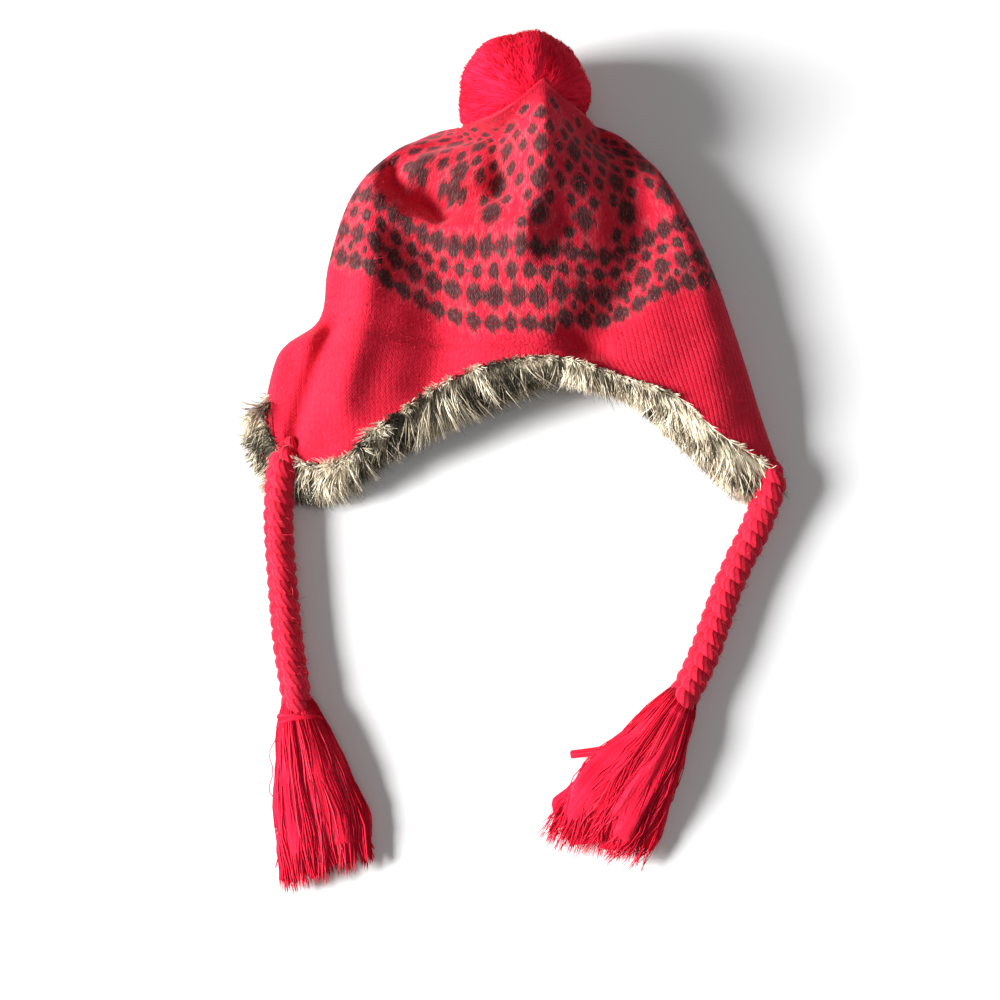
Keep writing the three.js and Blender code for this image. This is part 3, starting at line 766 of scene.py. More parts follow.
@dataclass(frozen=True)
class PileFinish:
    """Hair or cut wool: each strand runs from its root's colour to a tip that its tone picks from a ramp."""

    name: str
    root: Colour
    tips: tuple[Stop, ...]
    rise: tuple[float, float] = (0.0, 0.42)
    contrast: float = 2.2
    middle: float = 0.5
    sheen: float = 0.15
    roughness: float = 0.7

    def hair(self) -> bpy.types.Material:
        """Builds the material of the strands.

        Returns:
            The finished material.
        """
        graph = Graph(self.name)
        _, along = split_uv(graph, "yarn")
        tone = graph.signal("ShaderNodeAttribute", "Fac", {"attribute_name": "tone"})
        tip = graph.signal("ShaderNodeValToRGB", 0, {"stops": self.tips}, {0: tone})
        colour = graph.mix(self.root, tip, along.between(*self.rise))
        graph.set(Base_Color=colour, Roughness=self.roughness, Sheen_Weight=self.sheen,
                  Sheen_Tint=(*self.tips[-1][1], 1.0), Specular_IOR_Level=0.12)
        return graph.material

    def backing(self) -> bpy.types.Material:
        """Builds the material of the dense pile below the strands, streaked along its flow.

        Returns:
            The finished material.
        """
        graph = Graph(self.name + "_backing")
        flow = graph.signal("ShaderNodeAttribute", "Vector", {"attribute_name": "flow"})
        streak = graph.noise(1.0, 3.0, 0.65, flow)
        patch = graph.noise(46, 2.0, 0.5)
        tone = ((streak - 0.5) * self.contrast + (patch - 0.5) * self.contrast * 0.8 + self.middle).held()
        colour = graph.signal("ShaderNodeValToRGB", 0, {"stops": self.tips}, {0: tone})
        graph.bump(streak * 1.5 + graph.noise(700, 2.0, 0.6) * 0.4, 0.0011, 0.8)
        graph.set(Base_Color=colour, Roughness=0.95, Sheen_Weight=self.sheen, Sheen_Roughness=0.4,
                  Sheen_Tint=(*self.tips[-1][1], 1.0), Specular_IOR_Level=0.15)
        return graph.material


FUR = PileFinish(
    "fur_hair", (0.20, 0.165, 0.12),
    ((0.0, (0.022, 0.019, 0.013)), (0.24, (0.060, 0.052, 0.036)), (0.42, (0.27, 0.22, 0.15)),
     (0.60, (0.72, 0.60, 0.43)), (1.0, (0.95, 0.87, 0.69))))
PLUSH = PileFinish(
    "pompom_wool", (0.55, 0.002, 0.014),
    ((0.0, (0.42, 0.001, 0.008)), (0.5, (0.74, 0.005, 0.030)), (1.0, (0.84, 0.014, 0.055))),
    (0.0, 0.5), 1.8, 0.60, 0.25, 0.95)
FIBRE = PileFinish(
    "wool_fibre", (0.70, 0.020, 0.050),
    ((0.0, (0.62, 0.010, 0.034)), (0.7, (0.78, 0.028, 0.070)), (1.0, (0.82, 0.13, 0.17))),
    (0.0, 0.5), 1.0, 0.5, 0.0, 0.9)
FLEECE = PileFinish(
    "tassel_fleece", (0.55, 0.003, 0.018),
    ((0.0, (0.50, 0.002, 0.014)), (0.42, (0.72, 0.008, 0.034)), (0.75, (0.82, 0.016, 0.052)),
     (1.0, (0.86, 0.05, 0.09))),
    (0.0, 0.4), 1.3, 0.55, 0.25, 0.9)


def linked(name: str, mesh: bpy.types.Mesh, material: bpy.types.Material, node: str | None) -> bpy.types.Object:
    """Puts a finished mesh into the scene as a piece of the hat.

    Args:
        name: The piece's name.
        mesh: Its mesh, in the part's frame.
        material: Its finish.
        node: The solid that it stands for, if any.

    Returns:
        The new object.
    """
    piece = bpy.data.objects.new(name, mesh)
    bpy.context.scene.collection.objects.link(piece)
    mesh.materials.clear()
    mesh.materials.append(material)
    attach(piece, "root")
    if node:
        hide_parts(node)
    LOG.info("%s: %d vertices, %d faces", name, len(mesh.vertices), len(mesh.polygons))
    return piece


def bridged(rings: np.ndarray, closed: bool) -> bmesh.types.BMesh:
    """Bridges rings of points into one form.

    Args:
        rings: The rings, in mm.
        closed: Whether the last ring joins the first; otherwise both ends are capped.

    Returns:
        The form, with its faces outwards.
    """
    form = bmesh.new()
    loops = []
    for ring in metres(rings):
        corners = [form.verts.new(point) for point in ring]
        loops.append([form.edges.new((a, b)) for a, b in zip(corners, corners[1:] + corners[:1])])
    for first, second in zip(loops, loops[1:] + loops[:1] if closed else loops[1:]):
        bmesh.ops.bridge_loops(form, edges=first + second)
    for end in () if closed else (loops[0], loops[-1]):
        bmesh.ops.contextual_create(form, geom=end)
    bmesh.ops.recalc_face_normals(form, faces=form.faces)
    return form


def finished(form: bmesh.types.BMesh, name: str) -> bpy.types.Mesh:
    """Smooths a worked form, but not its caps, writes it to a mesh of that name and frees it.

    Args:
        form: The worked form.
        name: The mesh's name.

    Returns:
        The mesh.
    """
    for face in form.faces:
        face.smooth = len(face.verts) <= 4
    mesh = bpy.data.meshes.new(name)
    form.to_mesh(mesh)
    form.free()
    return mesh


def write_flow(mesh: bpy.types.Mesh, flow: np.ndarray) -> None:
    """Stores, for each vertex, the space in which its pile is streaked."""
    attribute = mesh.attributes.new("flow", "FLOAT_VECTOR", "POINT")
    attribute.data.foreach_set("vector", flow.astype(np.float32).ravel())


@dataclass(frozen=True)
class FibreHabit:
    """How the fibres of a nap lie: along the yarn, off it, at random, and how they curl back."""

    forward: float = 0.8
    backward_share: float = 0.35
    rise: float = 0.32
    scatter: float = 0.35
    curl: float = 0.35
    return_rise: float = 0.22
    places: Place = (0.0, 0.5, 1.0)
    taper: Place = (1.0, 0.9, 0.4)


@dataclass
class Strands:
    """Many round strands of yarn or hair, laid along given lines and joined into one mesh."""

    lines: np.ndarray
    radii: np.ndarray
    sides: int
    tones: np.ndarray
    along_in_mm: bool = False
    tip_share: float = 0.25

    def mesh(self, name: str) -> bpy.types.Mesh:
        """Builds the joined mesh, each strand closed at its root and its tip.

        Args:
            name: The mesh's name.

        Returns:
            The mesh, in metres, with its UV map "yarn" and its attribute "tone".
        """
        count, rings = self.lines.shape[:2]
        sides = self.sides
        points = self._skin()
        per = rings * sides + 1
        tips = self.lines[:, -1] + (self.lines[:, -1] - self.lines[:, -2]) * self.tip_share
        vertices = np.concatenate([points.reshape(count, rings * sides, 3), tips[:, None]], axis=1)
        vertices[..., 2] = np.maximum(vertices[..., 2], TABLE_CLEARANCE_MM * 0.5)
        faces, corners = self._pattern(rings, sides)
        start = (np.arange(count) * per)[:, None, None]
        triangles = (faces[None] + start).reshape(-1, 3)
        mesh = bpy.data.meshes.new(name)
        mesh.vertices.add(count * per)
        mesh.vertices.foreach_set("co", metres(vertices.reshape(-1, 3)).astype(np.float32).ravel())
        mesh.loops.add(len(triangles) * 3)
        mesh.loops.foreach_set("vertex_index", triangles.astype(np.int32).ravel())
        mesh.polygons.add(len(triangles))
        mesh.polygons.foreach_set("loop_start", np.arange(0, len(triangles) * 3, 3, dtype=np.int32))
        mesh.polygons.foreach_set("use_smooth", np.ones(len(triangles), dtype=bool))
        mesh.update(calc_edges=True)
        self._write_uv(mesh, corners)
        tone = mesh.attributes.new("tone", "FLOAT", "POINT")
        tone.data.foreach_set("value", np.repeat(self.tones, per).astype(np.float32))
        mesh.validate()
        return mesh

    def _skin(self) -> np.ndarray:
        """Returns the ring of points round each place of each strand.

        Returns:
            The points, by strand, place and side.
        """
        tangent = unit(np.gradient(self.lines, axis=1))
        overall = unit(self.lines[:, -1] - self.lines[:, 0])
        helper = np.where(np.abs(overall[:, 2:3]) > 0.8, [[1.0, 0.0, 0.0]], [[0.0, 0.0, 1.0]])
        side = unit(np.cross(tangent, helper[:, None]))
        up = np.cross(side, tangent)
        angle = 2 * math.pi * np.arange(self.sides) / self.sides
        ring = side[:, :, None] * np.cos(angle)[:, None] + up[:, :, None] * np.sin(angle)[:, None]
        return self.lines[:, :, None] + ring * self.radii[:, :, None, None]

    def _pattern(self, rings: int, sides: int) -> tuple[np.ndarray, np.ndarray]:
        """Returns one strand's faces, and the (round, ring) place of each of their corners.

        Args:
            rings: Places along a strand.
            sides: Points round it.

        Returns:
            The faces by vertex, and the corners.
        """
        faces: list[tuple[int, int, int]] = []
        corners: list[tuple[tuple[float, int], ...]] = []
        for ring in range(rings - 1):
            for k in range(sides):
                a, b = ring * sides + k, ring * sides + (k + 1) % sides
                c, d = b + sides, a + sides
                faces += [(a, b, c), (a, c, d)]
                near, far = (k, ring), (k + 1, ring + 1)
                corners += [(near, (k + 1, ring), far), (near, far, (k, ring + 1))]
        last = (rings - 1) * sides
        for k in range(sides):
            faces.append((last + k, last + (k + 1) % sides, rings * sides))
            corners.append(((k, rings - 1), (k + 1, rings - 1), (k + 0.5, rings)))
        for k in range(1, sides - 1):
            faces.append((0, k + 1, k))
            corners.append(((0, 0), (k + 1, 0), (k, 0)))
        return np.array(faces), np.array(corners, float)

    def _write_uv(self, mesh: bpy.types.Mesh, corners: np.ndarray) -> None:
        """Writes the UV map: round the strand, and along it in millimetres or as a share.

        Args:
            mesh: The mesh.
            corners: Places of one strand's corners.
        """
        count = len(self.lines)
        step = np.linalg.norm(np.diff(self.lines, axis=1), axis=2)
        run = np.concatenate([np.zeros((count, 1)), np.cumsum(step, axis=1)], axis=1)
        run = np.concatenate([run, run[:, -1:] + step[:, -1:] * self.tip_share], axis=1)
        if not self.along_in_mm:
            run = run / run[:, -1:]
        around = np.broadcast_to(corners[None, ..., 0] / self.sides, (count, *corners.shape[:2]))
        along = run[:, corners[..., 1].astype(int)]
        layer = mesh.uv_layers.new(name="yarn")
        layer.data.foreach_set("uv", np.stack([around, along], axis=-1).astype(np.float32).ravel())


def nap(name: str, root: np.ndarray, normal: np.ndarray, along: np.ndarray, rng: np.random.Generator,
        length_mm: float, radius_mm: float, finish: PileFinish, slot: str) -> bpy.types.Object:
    """Scatters fine fibres that stand a little off a woolly surface.

    Args:
        name: Name of the piece.
        root: Where each fibre starts, in mm.
        normal: The surface's outward direction there.
        along: The way the yarn runs there.
        rng: Source of chance.
        length_mm: Their middle length.
        radius_mm: Their middle radius.
        finish: Their finish.
        slot: Name of a material slot; not used.

    Returns:
        The joined fibres.
    """
    habit = FibreHabit()
    count = len(root)
    size = length_mm * (0.6 + 0.8 * rng.random(count))[:, None, None]
    forward = habit.forward * np.sign(rng.random(count) - habit.backward_share)
    lean = unit(along * forward[:, None] + normal * habit.rise + habit.scatter * rng.normal(size=(count, 3)))
    curl = habit.curl * rng.normal(size=(count, 3)) - normal * habit.return_rise
    share = np.array(habit.places)[None, :, None]
    lines = root[:, None] + size * (lean[:, None] * share + curl[:, None] * share**2)
    radii = radius_mm * (0.7 + 0.6 * rng.random(count))[:, None] * np.array(habit.taper)
    mesh = Strands(lines, radii, 3, rng.random(count)).mesh(name)
    return linked(name, mesh, finish.hair(), None)


@dataclass
class KnitShell:
    """The knitted hat itself: one cloth from the hem to the rim under the pompom, with its wales raised."""

    form: KnitForm
    rng: np.random.Generator
    fibres: int = 5500
    fibre_mm: tuple[float, float] = (2.6, 0.085)
    rows_per_step: int = 4
    thickness_mm: float = 2.8
    wale_relief_mm: float = 0.03
    face_wales: int = 96
    back_wales: int = 96
    pattern_courses: float = 22.0
    crown_courses: float = 41.0
    plain_course_mm: float = 2.5
    dish_rows: int = 4
    dish_bottom_mm: Place = (6.4, 84, 36)
    fade_stations: float = 0.5
    last_bent_course: float = -8
    foot_station: int = 3
    band_station: int = 4

    def places(self) -> list[float]:
        """Returns the station of each row of the mesh.

        Returns:
            The stations, from the hem to the rim.
        """
        steps = [HEM_ROWS, *[course.rows for course in COURSES]]
        places = [index + k / (count * self.rows_per_step)
                  for index, count in enumerate(steps) for k in range(count * self.rows_per_step)]
        return [*places, float(len(steps))]

    def build(self, finish: KnitFinish) -> bpy.types.Object:
        """Builds the knitted shell.

        Args:
            finish: Its finish.

        Returns:
            The piece.
        """
        places = self.places()
        skin = np.array([self.form.loop(place) for place in places])
        highest = self.form.top - self.form.slope_step
        outward = np.array([self.form.outward(min(place, highest)) for place in places])
        skin = skin + outward * self._relief(np.array(places))[..., None]
        dish = [skin[-1] * (1 - k / self.dish_rows) + np.array(self.dish_bottom_mm) * k / self.dish_rows
                for k in range(1, self.dish_rows + 1)]
        grid = np.concatenate([skin, dish])
        courses = self._course_numbers(skin, np.array(places))
        mesh = self._mesh(grid, courses)
        piece = linked("knit_cloth", mesh, finish.material(), "knit_shell")
        wall = piece.modifiers.new("wall", "SOLIDIFY")
        wall.thickness = self.thickness_mm * MM
        wall.offset = -1.0
        wall.use_rim = True
        self._nap(skin, outward)
        return piece

    def _nap(self, skin: np.ndarray, outward: np.ndarray) -> None:
        """Scatters fine fibres over the face of the cloth.

        Args:
            skin: The cloth's points, by row and column.
            outward: Its outward directions.
        """
        rows = self.rng.integers(1, len(skin) - 2, self.fibres)
        columns = self.rng.integers(2, self.form.face_columns - 2, self.fibres)
        share = self.rng.random((self.fibres, 1))
        root = skin[rows, columns] * (1 - share) + skin[rows + 1, columns] * share
        up = unit(skin[rows + 1, columns] - skin[rows, columns])
        nap("knit_fibres", root, unit(outward[rows, columns]), up, self.rng, *self.fibre_mm, FIBRE, "knit")

    def _relief(self, places: np.ndarray) -> np.ndarray:
        """Returns how far each point of the skin is raised along its wale.

        Args:
            places: The station of each row.

        Returns:
            The height of each point, in millimetres.
        """
        column = np.arange(self.form.columns)
        wave = np.where(column % 2 == 0, -1.0, 1.0)
        fade = smooth((self.form.top - places) / self.fade_stations)
        return self.wale_relief_mm * wave[None] * fade[:, None]

    def _course_numbers(self, skin: np.ndarray, places: np.ndarray) -> np.ndarray:
        """Returns the course that each row of points lies on, counted from the foot of the pattern.

        Args:
            skin: The cloth's points, by row and column.
            places: The station of each row.

        Returns:
            The course of each point.
        """
        step = np.linalg.norm(np.diff(skin, axis=0), axis=2)
        run = np.concatenate([np.zeros((1, self.form.columns)), np.cumsum(step, axis=0)])
        foot = int(np.argmin(np.abs(places - self.foot_station)))
        below = (run - run[foot]) / self.plain_course_mm
        upper = np.interp(places, [self.foot_station, self.band_station, self.form.top],
                          [0, self.pattern_courses, self.pattern_courses + self.crown_courses])
        courses = np.where(places[:, None] < self.foot_station, below, upper[:, None])
        wale, foot, band = np.array(COURSE_DRIFT).T
        column = np.arange(self.form.columns) * (self.face_wales + self.back_wales) / self.form.columns
        low, high = np.interp(column, wale, foot), np.interp(column, wale, band)
        share = np.clip(courses / self.pattern_courses, 0, 1)
        fade = smooth(1.6 - courses / (1.4 * self.pattern_courses))
        return courses - (low * (1 - share) + high * share) * fade * (courses > self.last_bent_course)

    def _mesh(self, grid: np.ndarray, courses: np.ndarray) -> bpy.types.Mesh:
        """Bends a flat grid into the closed cloth, with its wales and courses as UV.

        Args:
            grid: The points, by row and column.
            courses: The course of each point of the skin.

        Returns:
            The mesh.
        """
        rows, columns = grid.shape[0] - 1, grid.shape[1]
        cloth = bmesh.new()
        bmesh.ops.create_grid(cloth, x_segments=columns, y_segments=rows, size=0.5)
        layer = cloth.loops.layers.uv.new("knit")
        positions = metres(grid)
        wales = np.concatenate([
            np.linspace(0, self.face_wales, self.form.face_columns, endpoint=False),
            np.linspace(self.face_wales, self.face_wales + self.back_wales, self.form.back_columns + 1)])
        spots = {}
        for vertex in cloth.verts:
            column, row = round((vertex.co.x + 0.5) * columns), round((vertex.co.y + 0.5) * rows)
            spots[vertex.index] = (column, row)
            vertex.co = positions[row, column % columns]
        for face in cloth.faces:
            for loop in face.loops:
                column, row = spots[loop.vert.index]
                beyond = row - (len(courses) - 1)
                course = courses[-1, 0] + beyond if beyond > 0 else courses[row, column % columns]
                loop[layer].uv = (wales[column], course)
        bmesh.ops.remove_doubles(cloth, verts=cloth.verts, dist=WELD_GAP)
        bmesh.ops.recalc_face_normals(cloth, faces=cloth.faces)
        highest = max(cloth.faces, key=lambda face: face.calc_center_median().z)
        if highest.normal.z < 0:
            bmesh.ops.reverse_faces(cloth, faces=cloth.faces)
        return finished(cloth, "knit_cloth")


class Hem(Enum):
    """The two stretches of the hem, in the order of the trim's sizes."""

    FACE = 0
    NAPE = 1


@dataclass(frozen=True)
class HairHabit:
    """How the hairs of the fur's edge grow, lie and are coloured, as shares unless the name says mm."""

    crowding: float = 1.6
    gather_scatter: float = 0.2
    spread_share: float = 0.66
    behind_mm: float = 0.6
    under_mm: float = 0.4
    pile_share: float = 0.8
    lock_combs: tuple[float, float] = (0.42, 0.30)
    comb_scatter: float = 0.14
    lift: float = 0.42
    sink: float = 1.15
    lift_scatter: float = 0.12
    forward: float = 0.85
    forward_spread: float = 0.2
    room: float = 1.02
    room_used: float = 0.60
    least_advance: float = 0.45
    size: float = 0.84
    size_spread: float = 0.22
    curl: float = 0.34
    curl_scatter: float = 0.12
    droop: float = 0.40
    droop_lost: float = 0.3
    short_shares: Place = (0.04, 0.22, 0.16)
    stand: float = 0.75
    lobe_growth: float = 0.7
    patch_reach_mm: float = 3.0
    middle_tone: float = 0.62
    patch_tone: float = 0.62
    # Painted shade: how much darker the hairs rooted deeper under the hem are.
    depth_shade: float = 0.20
    gather_tone: float = 0.24
    single_tone: float = 0.10
    left_shade: float = 0.22
    left_from: float = 0.55
    # Painted light: how much lighter the short hairs that stand up at the hem are.
    short_lit_tone: float = 0.18


@dataclass
class EdgeSpots:
    """Where the hairs of the fur's edge start, with one entry in each table for each hair."""

    columns: np.ndarray
    across: np.ndarray
    gather: np.ndarray
    place: np.ndarray
    layer: np.ndarray
    hem: np.ndarray
    out: np.ndarray
    along: np.ndarray
    side: np.ndarray
    length: np.ndarray


@dataclass
class FurTrim:
    """The pile along the hem: a dense backing, and hairs that roll over the edge and into the hollow."""

    form: KnitForm
    rng: np.random.Generator
    knit_mm: float = 2.8
    pile_mm: tuple[float, float] = (7.5, 5.0)
    lining_places: tuple[float, ...] = (0.6, 0.45, 0.3, 0.15, 0.0)
    backing_share: float = 0.86
    streaks_per_mm: tuple[float, float] = (1.15, 0.10)
    roll_section: tuple[tuple[float, float], ...] = (
        (0.02, -1.6), (0.10, 0.2), (0.28, 0.9), (0.50, 0.7), (0.72, -0.6), (0.90, -2.4), (0.98, -4.4),
        (0.86, -6.4),
    )
    hairs: tuple[int, int] = (19000, 4600)
    lining_hairs: tuple[int, int] = (1200, 900)
    hair_radius_mm: float = 0.27
    trim_places: tuple[float, ...] = (0.0, 0.06, 0.28, 0.42, 1.0, 1.1)
    trims: tuple[float, ...] = (0.85, 0.72, 0.76, 0.95, 1.05, 0.9)
    shade_places: tuple[float, ...] = (0.0, 0.14, 0.28, 0.40, 0.47, 0.55, 0.62, 0.74, 0.83, 0.92, 1.0, 1.2)
    shades: tuple[float, ...] = (0.06, 0.10, -0.08, 0.04, -0.30, -0.26, 0.04, -0.22, 0.08, -0.16, 0.12, 0.0)

    comb_places: tuple[float, ...] = (0, 0.08, 0.3, 0.45, 0.7, 1.0, 2.0)
    combs: tuple[float, ...] = (0.4, 0.7, 0.6, 0.25, -0.25, -0.15, 0.0)
    lobe_places: tuple[float, ...] = (0.70, 0.77, 0.83, 0.88)
    lobes: tuple[float, ...] = (0, 1, 1, 0)
    closing_share: float = 0.12
    tip_pile_mm: float = 1.5
    wall_gap_mm: float = 0.9
    lining_top: float = 0.8
    lining_rows: int = 9
    gathers_per_column: float = 1.7
    habit: HairHabit = HairHabit()
    hair_mm: tuple[float, float] = (5.5, 22)
    short_hair_mm: tuple[float, float] = (4.0, 8.0)
    hair_places: Place = (0.0, 0.5, 0.93)
    hair_taper: Place = (0.9, 1.0, 0.3)

    def opened(self) -> np.ndarray:
        """Returns how open the fur is at each column, closing at the flap tips.

        Returns:
            A share from 0 to 1 for each column.
        """
        column = np.arange(self.form.columns)
        on_face = column <= self.form.face_columns
        count = np.where(on_face, self.form.face_columns, self.form.back_columns)
        place = np.where(on_face, column, column - self.form.face_columns)
        return smooth(np.minimum(place, count - place) / count / self.closing_share)

    def build(self, finish: PileFinish, cloth: BVHTree) -> None:
        """Builds the backing and the hairs.

        Args:
            finish: The finish of the fur.
            cloth: The knitting, which no hair passes through.
        """
        self._backing(finish)
        material = finish.hair()
        for part in Hem:
            outer = self._edge_hairs(part, self.hairs[part.value])
            inner = self._lining_hairs(part, self.lining_hairs[part.value])
            lines, radii, tones = (np.concatenate(pair) for pair in zip(outer, inner))
            keep = self._clear_of(cloth, lines)
            lines, radii, tones = lines[keep], radii[keep], tones[keep]
            lines[..., 2] = np.maximum(lines[..., 2], TABLE_CLEARANCE_MM)
            pieces = 2 if part is Hem.FACE else 1
            for piece in range(pieces):
                name = f"fur_hairs_{part.name.lower()}_{piece}"
                chosen = slice(piece, None, pieces)
                mesh = Strands(lines[chosen], radii[chosen], 3, tones[chosen]).mesh(name)
                linked(name, mesh, material, None)

    def _backing(self, finish: PileFinish) -> None:
        """Builds the dense pile as a closed loop round the hem, rolled over its edge.

        Args:
            finish: The finish of the fur.
        """
        pile = np.where(np.arange(self.form.columns) <= self.form.face_columns, *self.pile_mm)
        pile = (self.tip_pile_mm + (pile - self.tip_pile_mm) * self.opened())[:, None] * 0.5
        loops = {place: self.form.loop(place) for place in self.lining_places}
        outward = {place: self.form.outward(place) for place in self.lining_places}
        hem, out = self.form.stations[0], outward[0.0]
        reach = (self.form.fur_edge - hem) * self.backing_share
        inside = self.knit_mm + self.wall_gap_mm
        wall = [loops[place] - outward[place] * inside for place in self.lining_places]
        lining = [line - outward[place] * pile for line, place in zip(wall, self.lining_places)]
        roll = [hem + reach * share + out * rise for share, rise in self.roll_section]
        section = [*wall, *roll, hem + reach * 0.6 - out * (self.knit_mm + pile * 1.6), *lining[::-1]]
        rings = np.array(section).transpose(1, 0, 2)
        rings[..., 2] = np.maximum(rings[..., 2], TABLE_CLEARANCE_MM)
        run = run_of(hem)
        away = np.linalg.norm(rings - hem[:, None], axis=2)
        comb = self._comb(np.arange(self.form.columns))
        streaks = (run[:, None] + comb[:, None] * away) * self.streaks_per_mm[0]
        flow = np.stack([streaks, away * self.streaks_per_mm[1], np.zeros_like(away)], axis=-1)
        mesh = finished(bridged(rings, closed=True), "fur_backing")
        write_flow(mesh, flow.reshape(-1, 3))
        linked("fur_backing", mesh, finish.backing(), "fur_trim")

    def _clear_of(self, cloth: BVHTree, lines: np.ndarray) -> np.ndarray:
        """Returns which hairs pass through no knitting.

        Args:
            cloth: The knitting.
            lines: The hairs, in millimetres.

        Returns:
            True for each hair that is kept.
        """
        places = metres(lines)
        keep = np.ones(len(lines), dtype=bool)
        for index, line in enumerate(places):
            for start, end in zip(line, line[1:]):
                step = Vector(end) - Vector(start)
                if cloth.ray_cast(Vector(start), step.normalized(), step.length * 1.1)[0] is not None:
                    keep[index] = False
                    break
        return keep

    def _columns_of(self, part: Hem, count: int) -> np.ndarray:
        """Returns random columns, with fractions, on the face or the nape."""
        low = self.form.face_columns * part.value
        span = (self.form.face_columns, self.form.back_columns)[part.value]
        return low + self.rng.random(count) * span

    def _sample(self, values: np.ndarray, columns: np.ndarray) -> np.ndarray:
        """Returns a column-wise table at columns with fractions.

        Args:
            values: One row for each column.
            columns: The columns.

        Returns:
            One row for each column that was asked for.
        """
        index = columns.astype(int) % self.form.columns
        share = (columns - columns.astype(int))[:, None]
        return values[index] * (1 - share) + values[(index + 1) % self.form.columns] * share

    def _mottle(self, root: np.ndarray) -> np.ndarray:
        """Returns the patches of light and dark hair at the roots, about from -1 to 1."""
        x, y, z = root.T
        return 0.45 * (np.sin(x * 0.21 + 1.3 * np.sin(y * 0.17)) + np.sin(y * 0.33 + x * 0.11 + 2.0)
                       + 0.8 * np.sin(x * 0.47 - z * 0.35 + 0.7))

    def _edge_spots(self, part: Hem, count: int) -> EdgeSpots:
        """Chooses where the hairs of the edge start.

        Args:
            part: The stretch of the hem.
            count: Number of hairs.

        Returns:
            The spots.
        """
        columns = self._columns_of(part, count)
        gather = np.floor(columns * self.gathers_per_column) / self.gathers_per_column
        gather = gather + 0.3 + self.habit.gather_scatter * self.rng.normal(size=count)
        hem = self._sample(self.form.stations[0], columns)
        out = unit(self._sample(self.form.outward(0.0), columns))
        reach = self._sample(self.form.fur_edge, columns) - hem
        along = unit(reach)
        place, layer = self.rng.random(count), self.rng.random(count) ** self.habit.crowding
        return EdgeSpots(columns, columns / self.form.face_columns, gather, place, layer, hem, out, along,
                         np.cross(out, along), np.linalg.norm(reach, axis=1))

    def _edge_hairs(self, part: Hem, count: int) -> tuple[np.ndarray, np.ndarray, np.ndarray]:
        """Lays the hairs that roll over the hem's edge.

        Args:
            part: The stretch of the hem.
            count: Number of hairs.

        Returns:
            Their lines, their radii and their tones.
        """
        habit, spots = self.habit, self._edge_spots(part, count)
        forth = spots.length * spots.place * habit.spread_share - habit.behind_mm
        under = habit.under_mm + spots.layer * (self.knit_mm + self.pile_mm[part.value] * habit.pile_share)
        root = spots.hem + spots.along * forth[:, None] - spots.out * under[:, None]
        comb = self._comb(spots.columns) + self._locks(spots)
        comb += habit.comb_scatter * self.rng.normal(size=count)
        lift = habit.lift - spots.layer * habit.sink + habit.lift_scatter * self.rng.normal(size=count)
        forward = habit.forward + habit.forward_spread * self.rng.random(count)
        lean = unit(spots.along * forward[:, None] + spots.side * comb[:, None] + spots.out * lift[:, None])
        trimmed = np.interp(spots.across, self.trim_places, self.trims)
        room = spots.length * (habit.room - spots.place * habit.room_used) * trimmed
        room = room / np.clip((lean * spots.along).sum(1), habit.least_advance, 1)
        size = np.clip(room * (habit.size + habit.size_spread * self.rng.random(count)), *self.hair_mm)
        curl = habit.curl * np.sin(spots.gather * 3.7 + 1.3)
        curl += habit.curl_scatter * self.rng.normal(size=count)
        droop = habit.droop - spots.layer * habit.droop_lost
        bend = spots.along * 0.05 - spots.out * droop[:, None] + spots.side * curl[:, None]
        short = self._shorten(spots, comb, root, lean, size)
        lines, radii = self._hair(root, lean, bend, size)
        return lines, radii, self._edge_tones(spots, root, short)

    def _locks(self, spots: EdgeSpots) -> np.ndarray:
        """Returns how far the locks of the edge lean sideways."""
        wide, narrow = self.habit.lock_combs
        slow = np.sin(spots.gather * 1.9 + 2 * np.sin(spots.gather * 0.43))
        return wide * slow + narrow * np.sin(spots.gather * 5.1 + spots.place * 4 + 1)

    def _shorten(self, spots: EdgeSpots, comb: np.ndarray, root: np.ndarray, lean: np.ndarray,
                 size: np.ndarray) -> np.ndarray:
        """Turns some of the hairs into short ones that stand up from the hem.

        Args:
            spots: Where the hairs start.
            comb: How far they are combed sideways.
            root: Their first points, changed in place like the next two.
            lean: The way they leave.
            size: Their lengths.

        Returns:
            True for each hair that was shortened.
        """
        habit, columns = self.habit, spots.columns
        tufts = np.sin(columns * 0.83 + 2.2 * np.sin(columns * 0.19)) * np.sin(columns * 0.31 + 1)
        lobe = np.interp(spots.across, self.lobe_places, self.lobes)
        plain, tufted, on_lobe = habit.short_shares
        share = plain + tufted * (0.5 + 0.5 * tufts) ** 2 + on_lobe * lobe
        short = self.rng.random(len(columns)) < share
        back = self.rng.random(len(columns)) * 1.1 - 0.45
        stood = spots.out * habit.stand + spots.along * back[:, None] + spots.side * comb[:, None]
        lean[short] = unit(stood[short])
        root[short] = (spots.hem - spots.out * 0.5 + spots.along * 0.3)[short]
        size[short] = (np.clip(size * 0.5, *self.short_hair_mm) * (1 + habit.lobe_growth * lobe))[short]
        return short

    def _edge_tones(self, spots: EdgeSpots, root: np.ndarray, short: np.ndarray) -> np.ndarray:
        """Picks the tones of the hairs of the edge.

        Args:
            spots: Where the hairs start.
            root: Their first points.
            short: True for each short one.

        Returns:
            A tone from 0 to 1 for each hair.
        """
        habit = self.habit
        patch = self._mottle(root + spots.along * habit.patch_reach_mm)
        # Painted shade: hairs rooted deeper under the hem, which lie lower in the roll, are darker.
        tone = habit.middle_tone + habit.patch_tone * patch - habit.depth_shade * spots.layer
        tone += habit.gather_tone * np.sin(spots.gather * 7.3)
        tone += habit.single_tone * (self.rng.random(len(root)) - 0.5)
        tone += np.interp(spots.across, self.shade_places, self.shades)
        tone -= habit.left_shade * spots.place * (spots.across > habit.left_from)
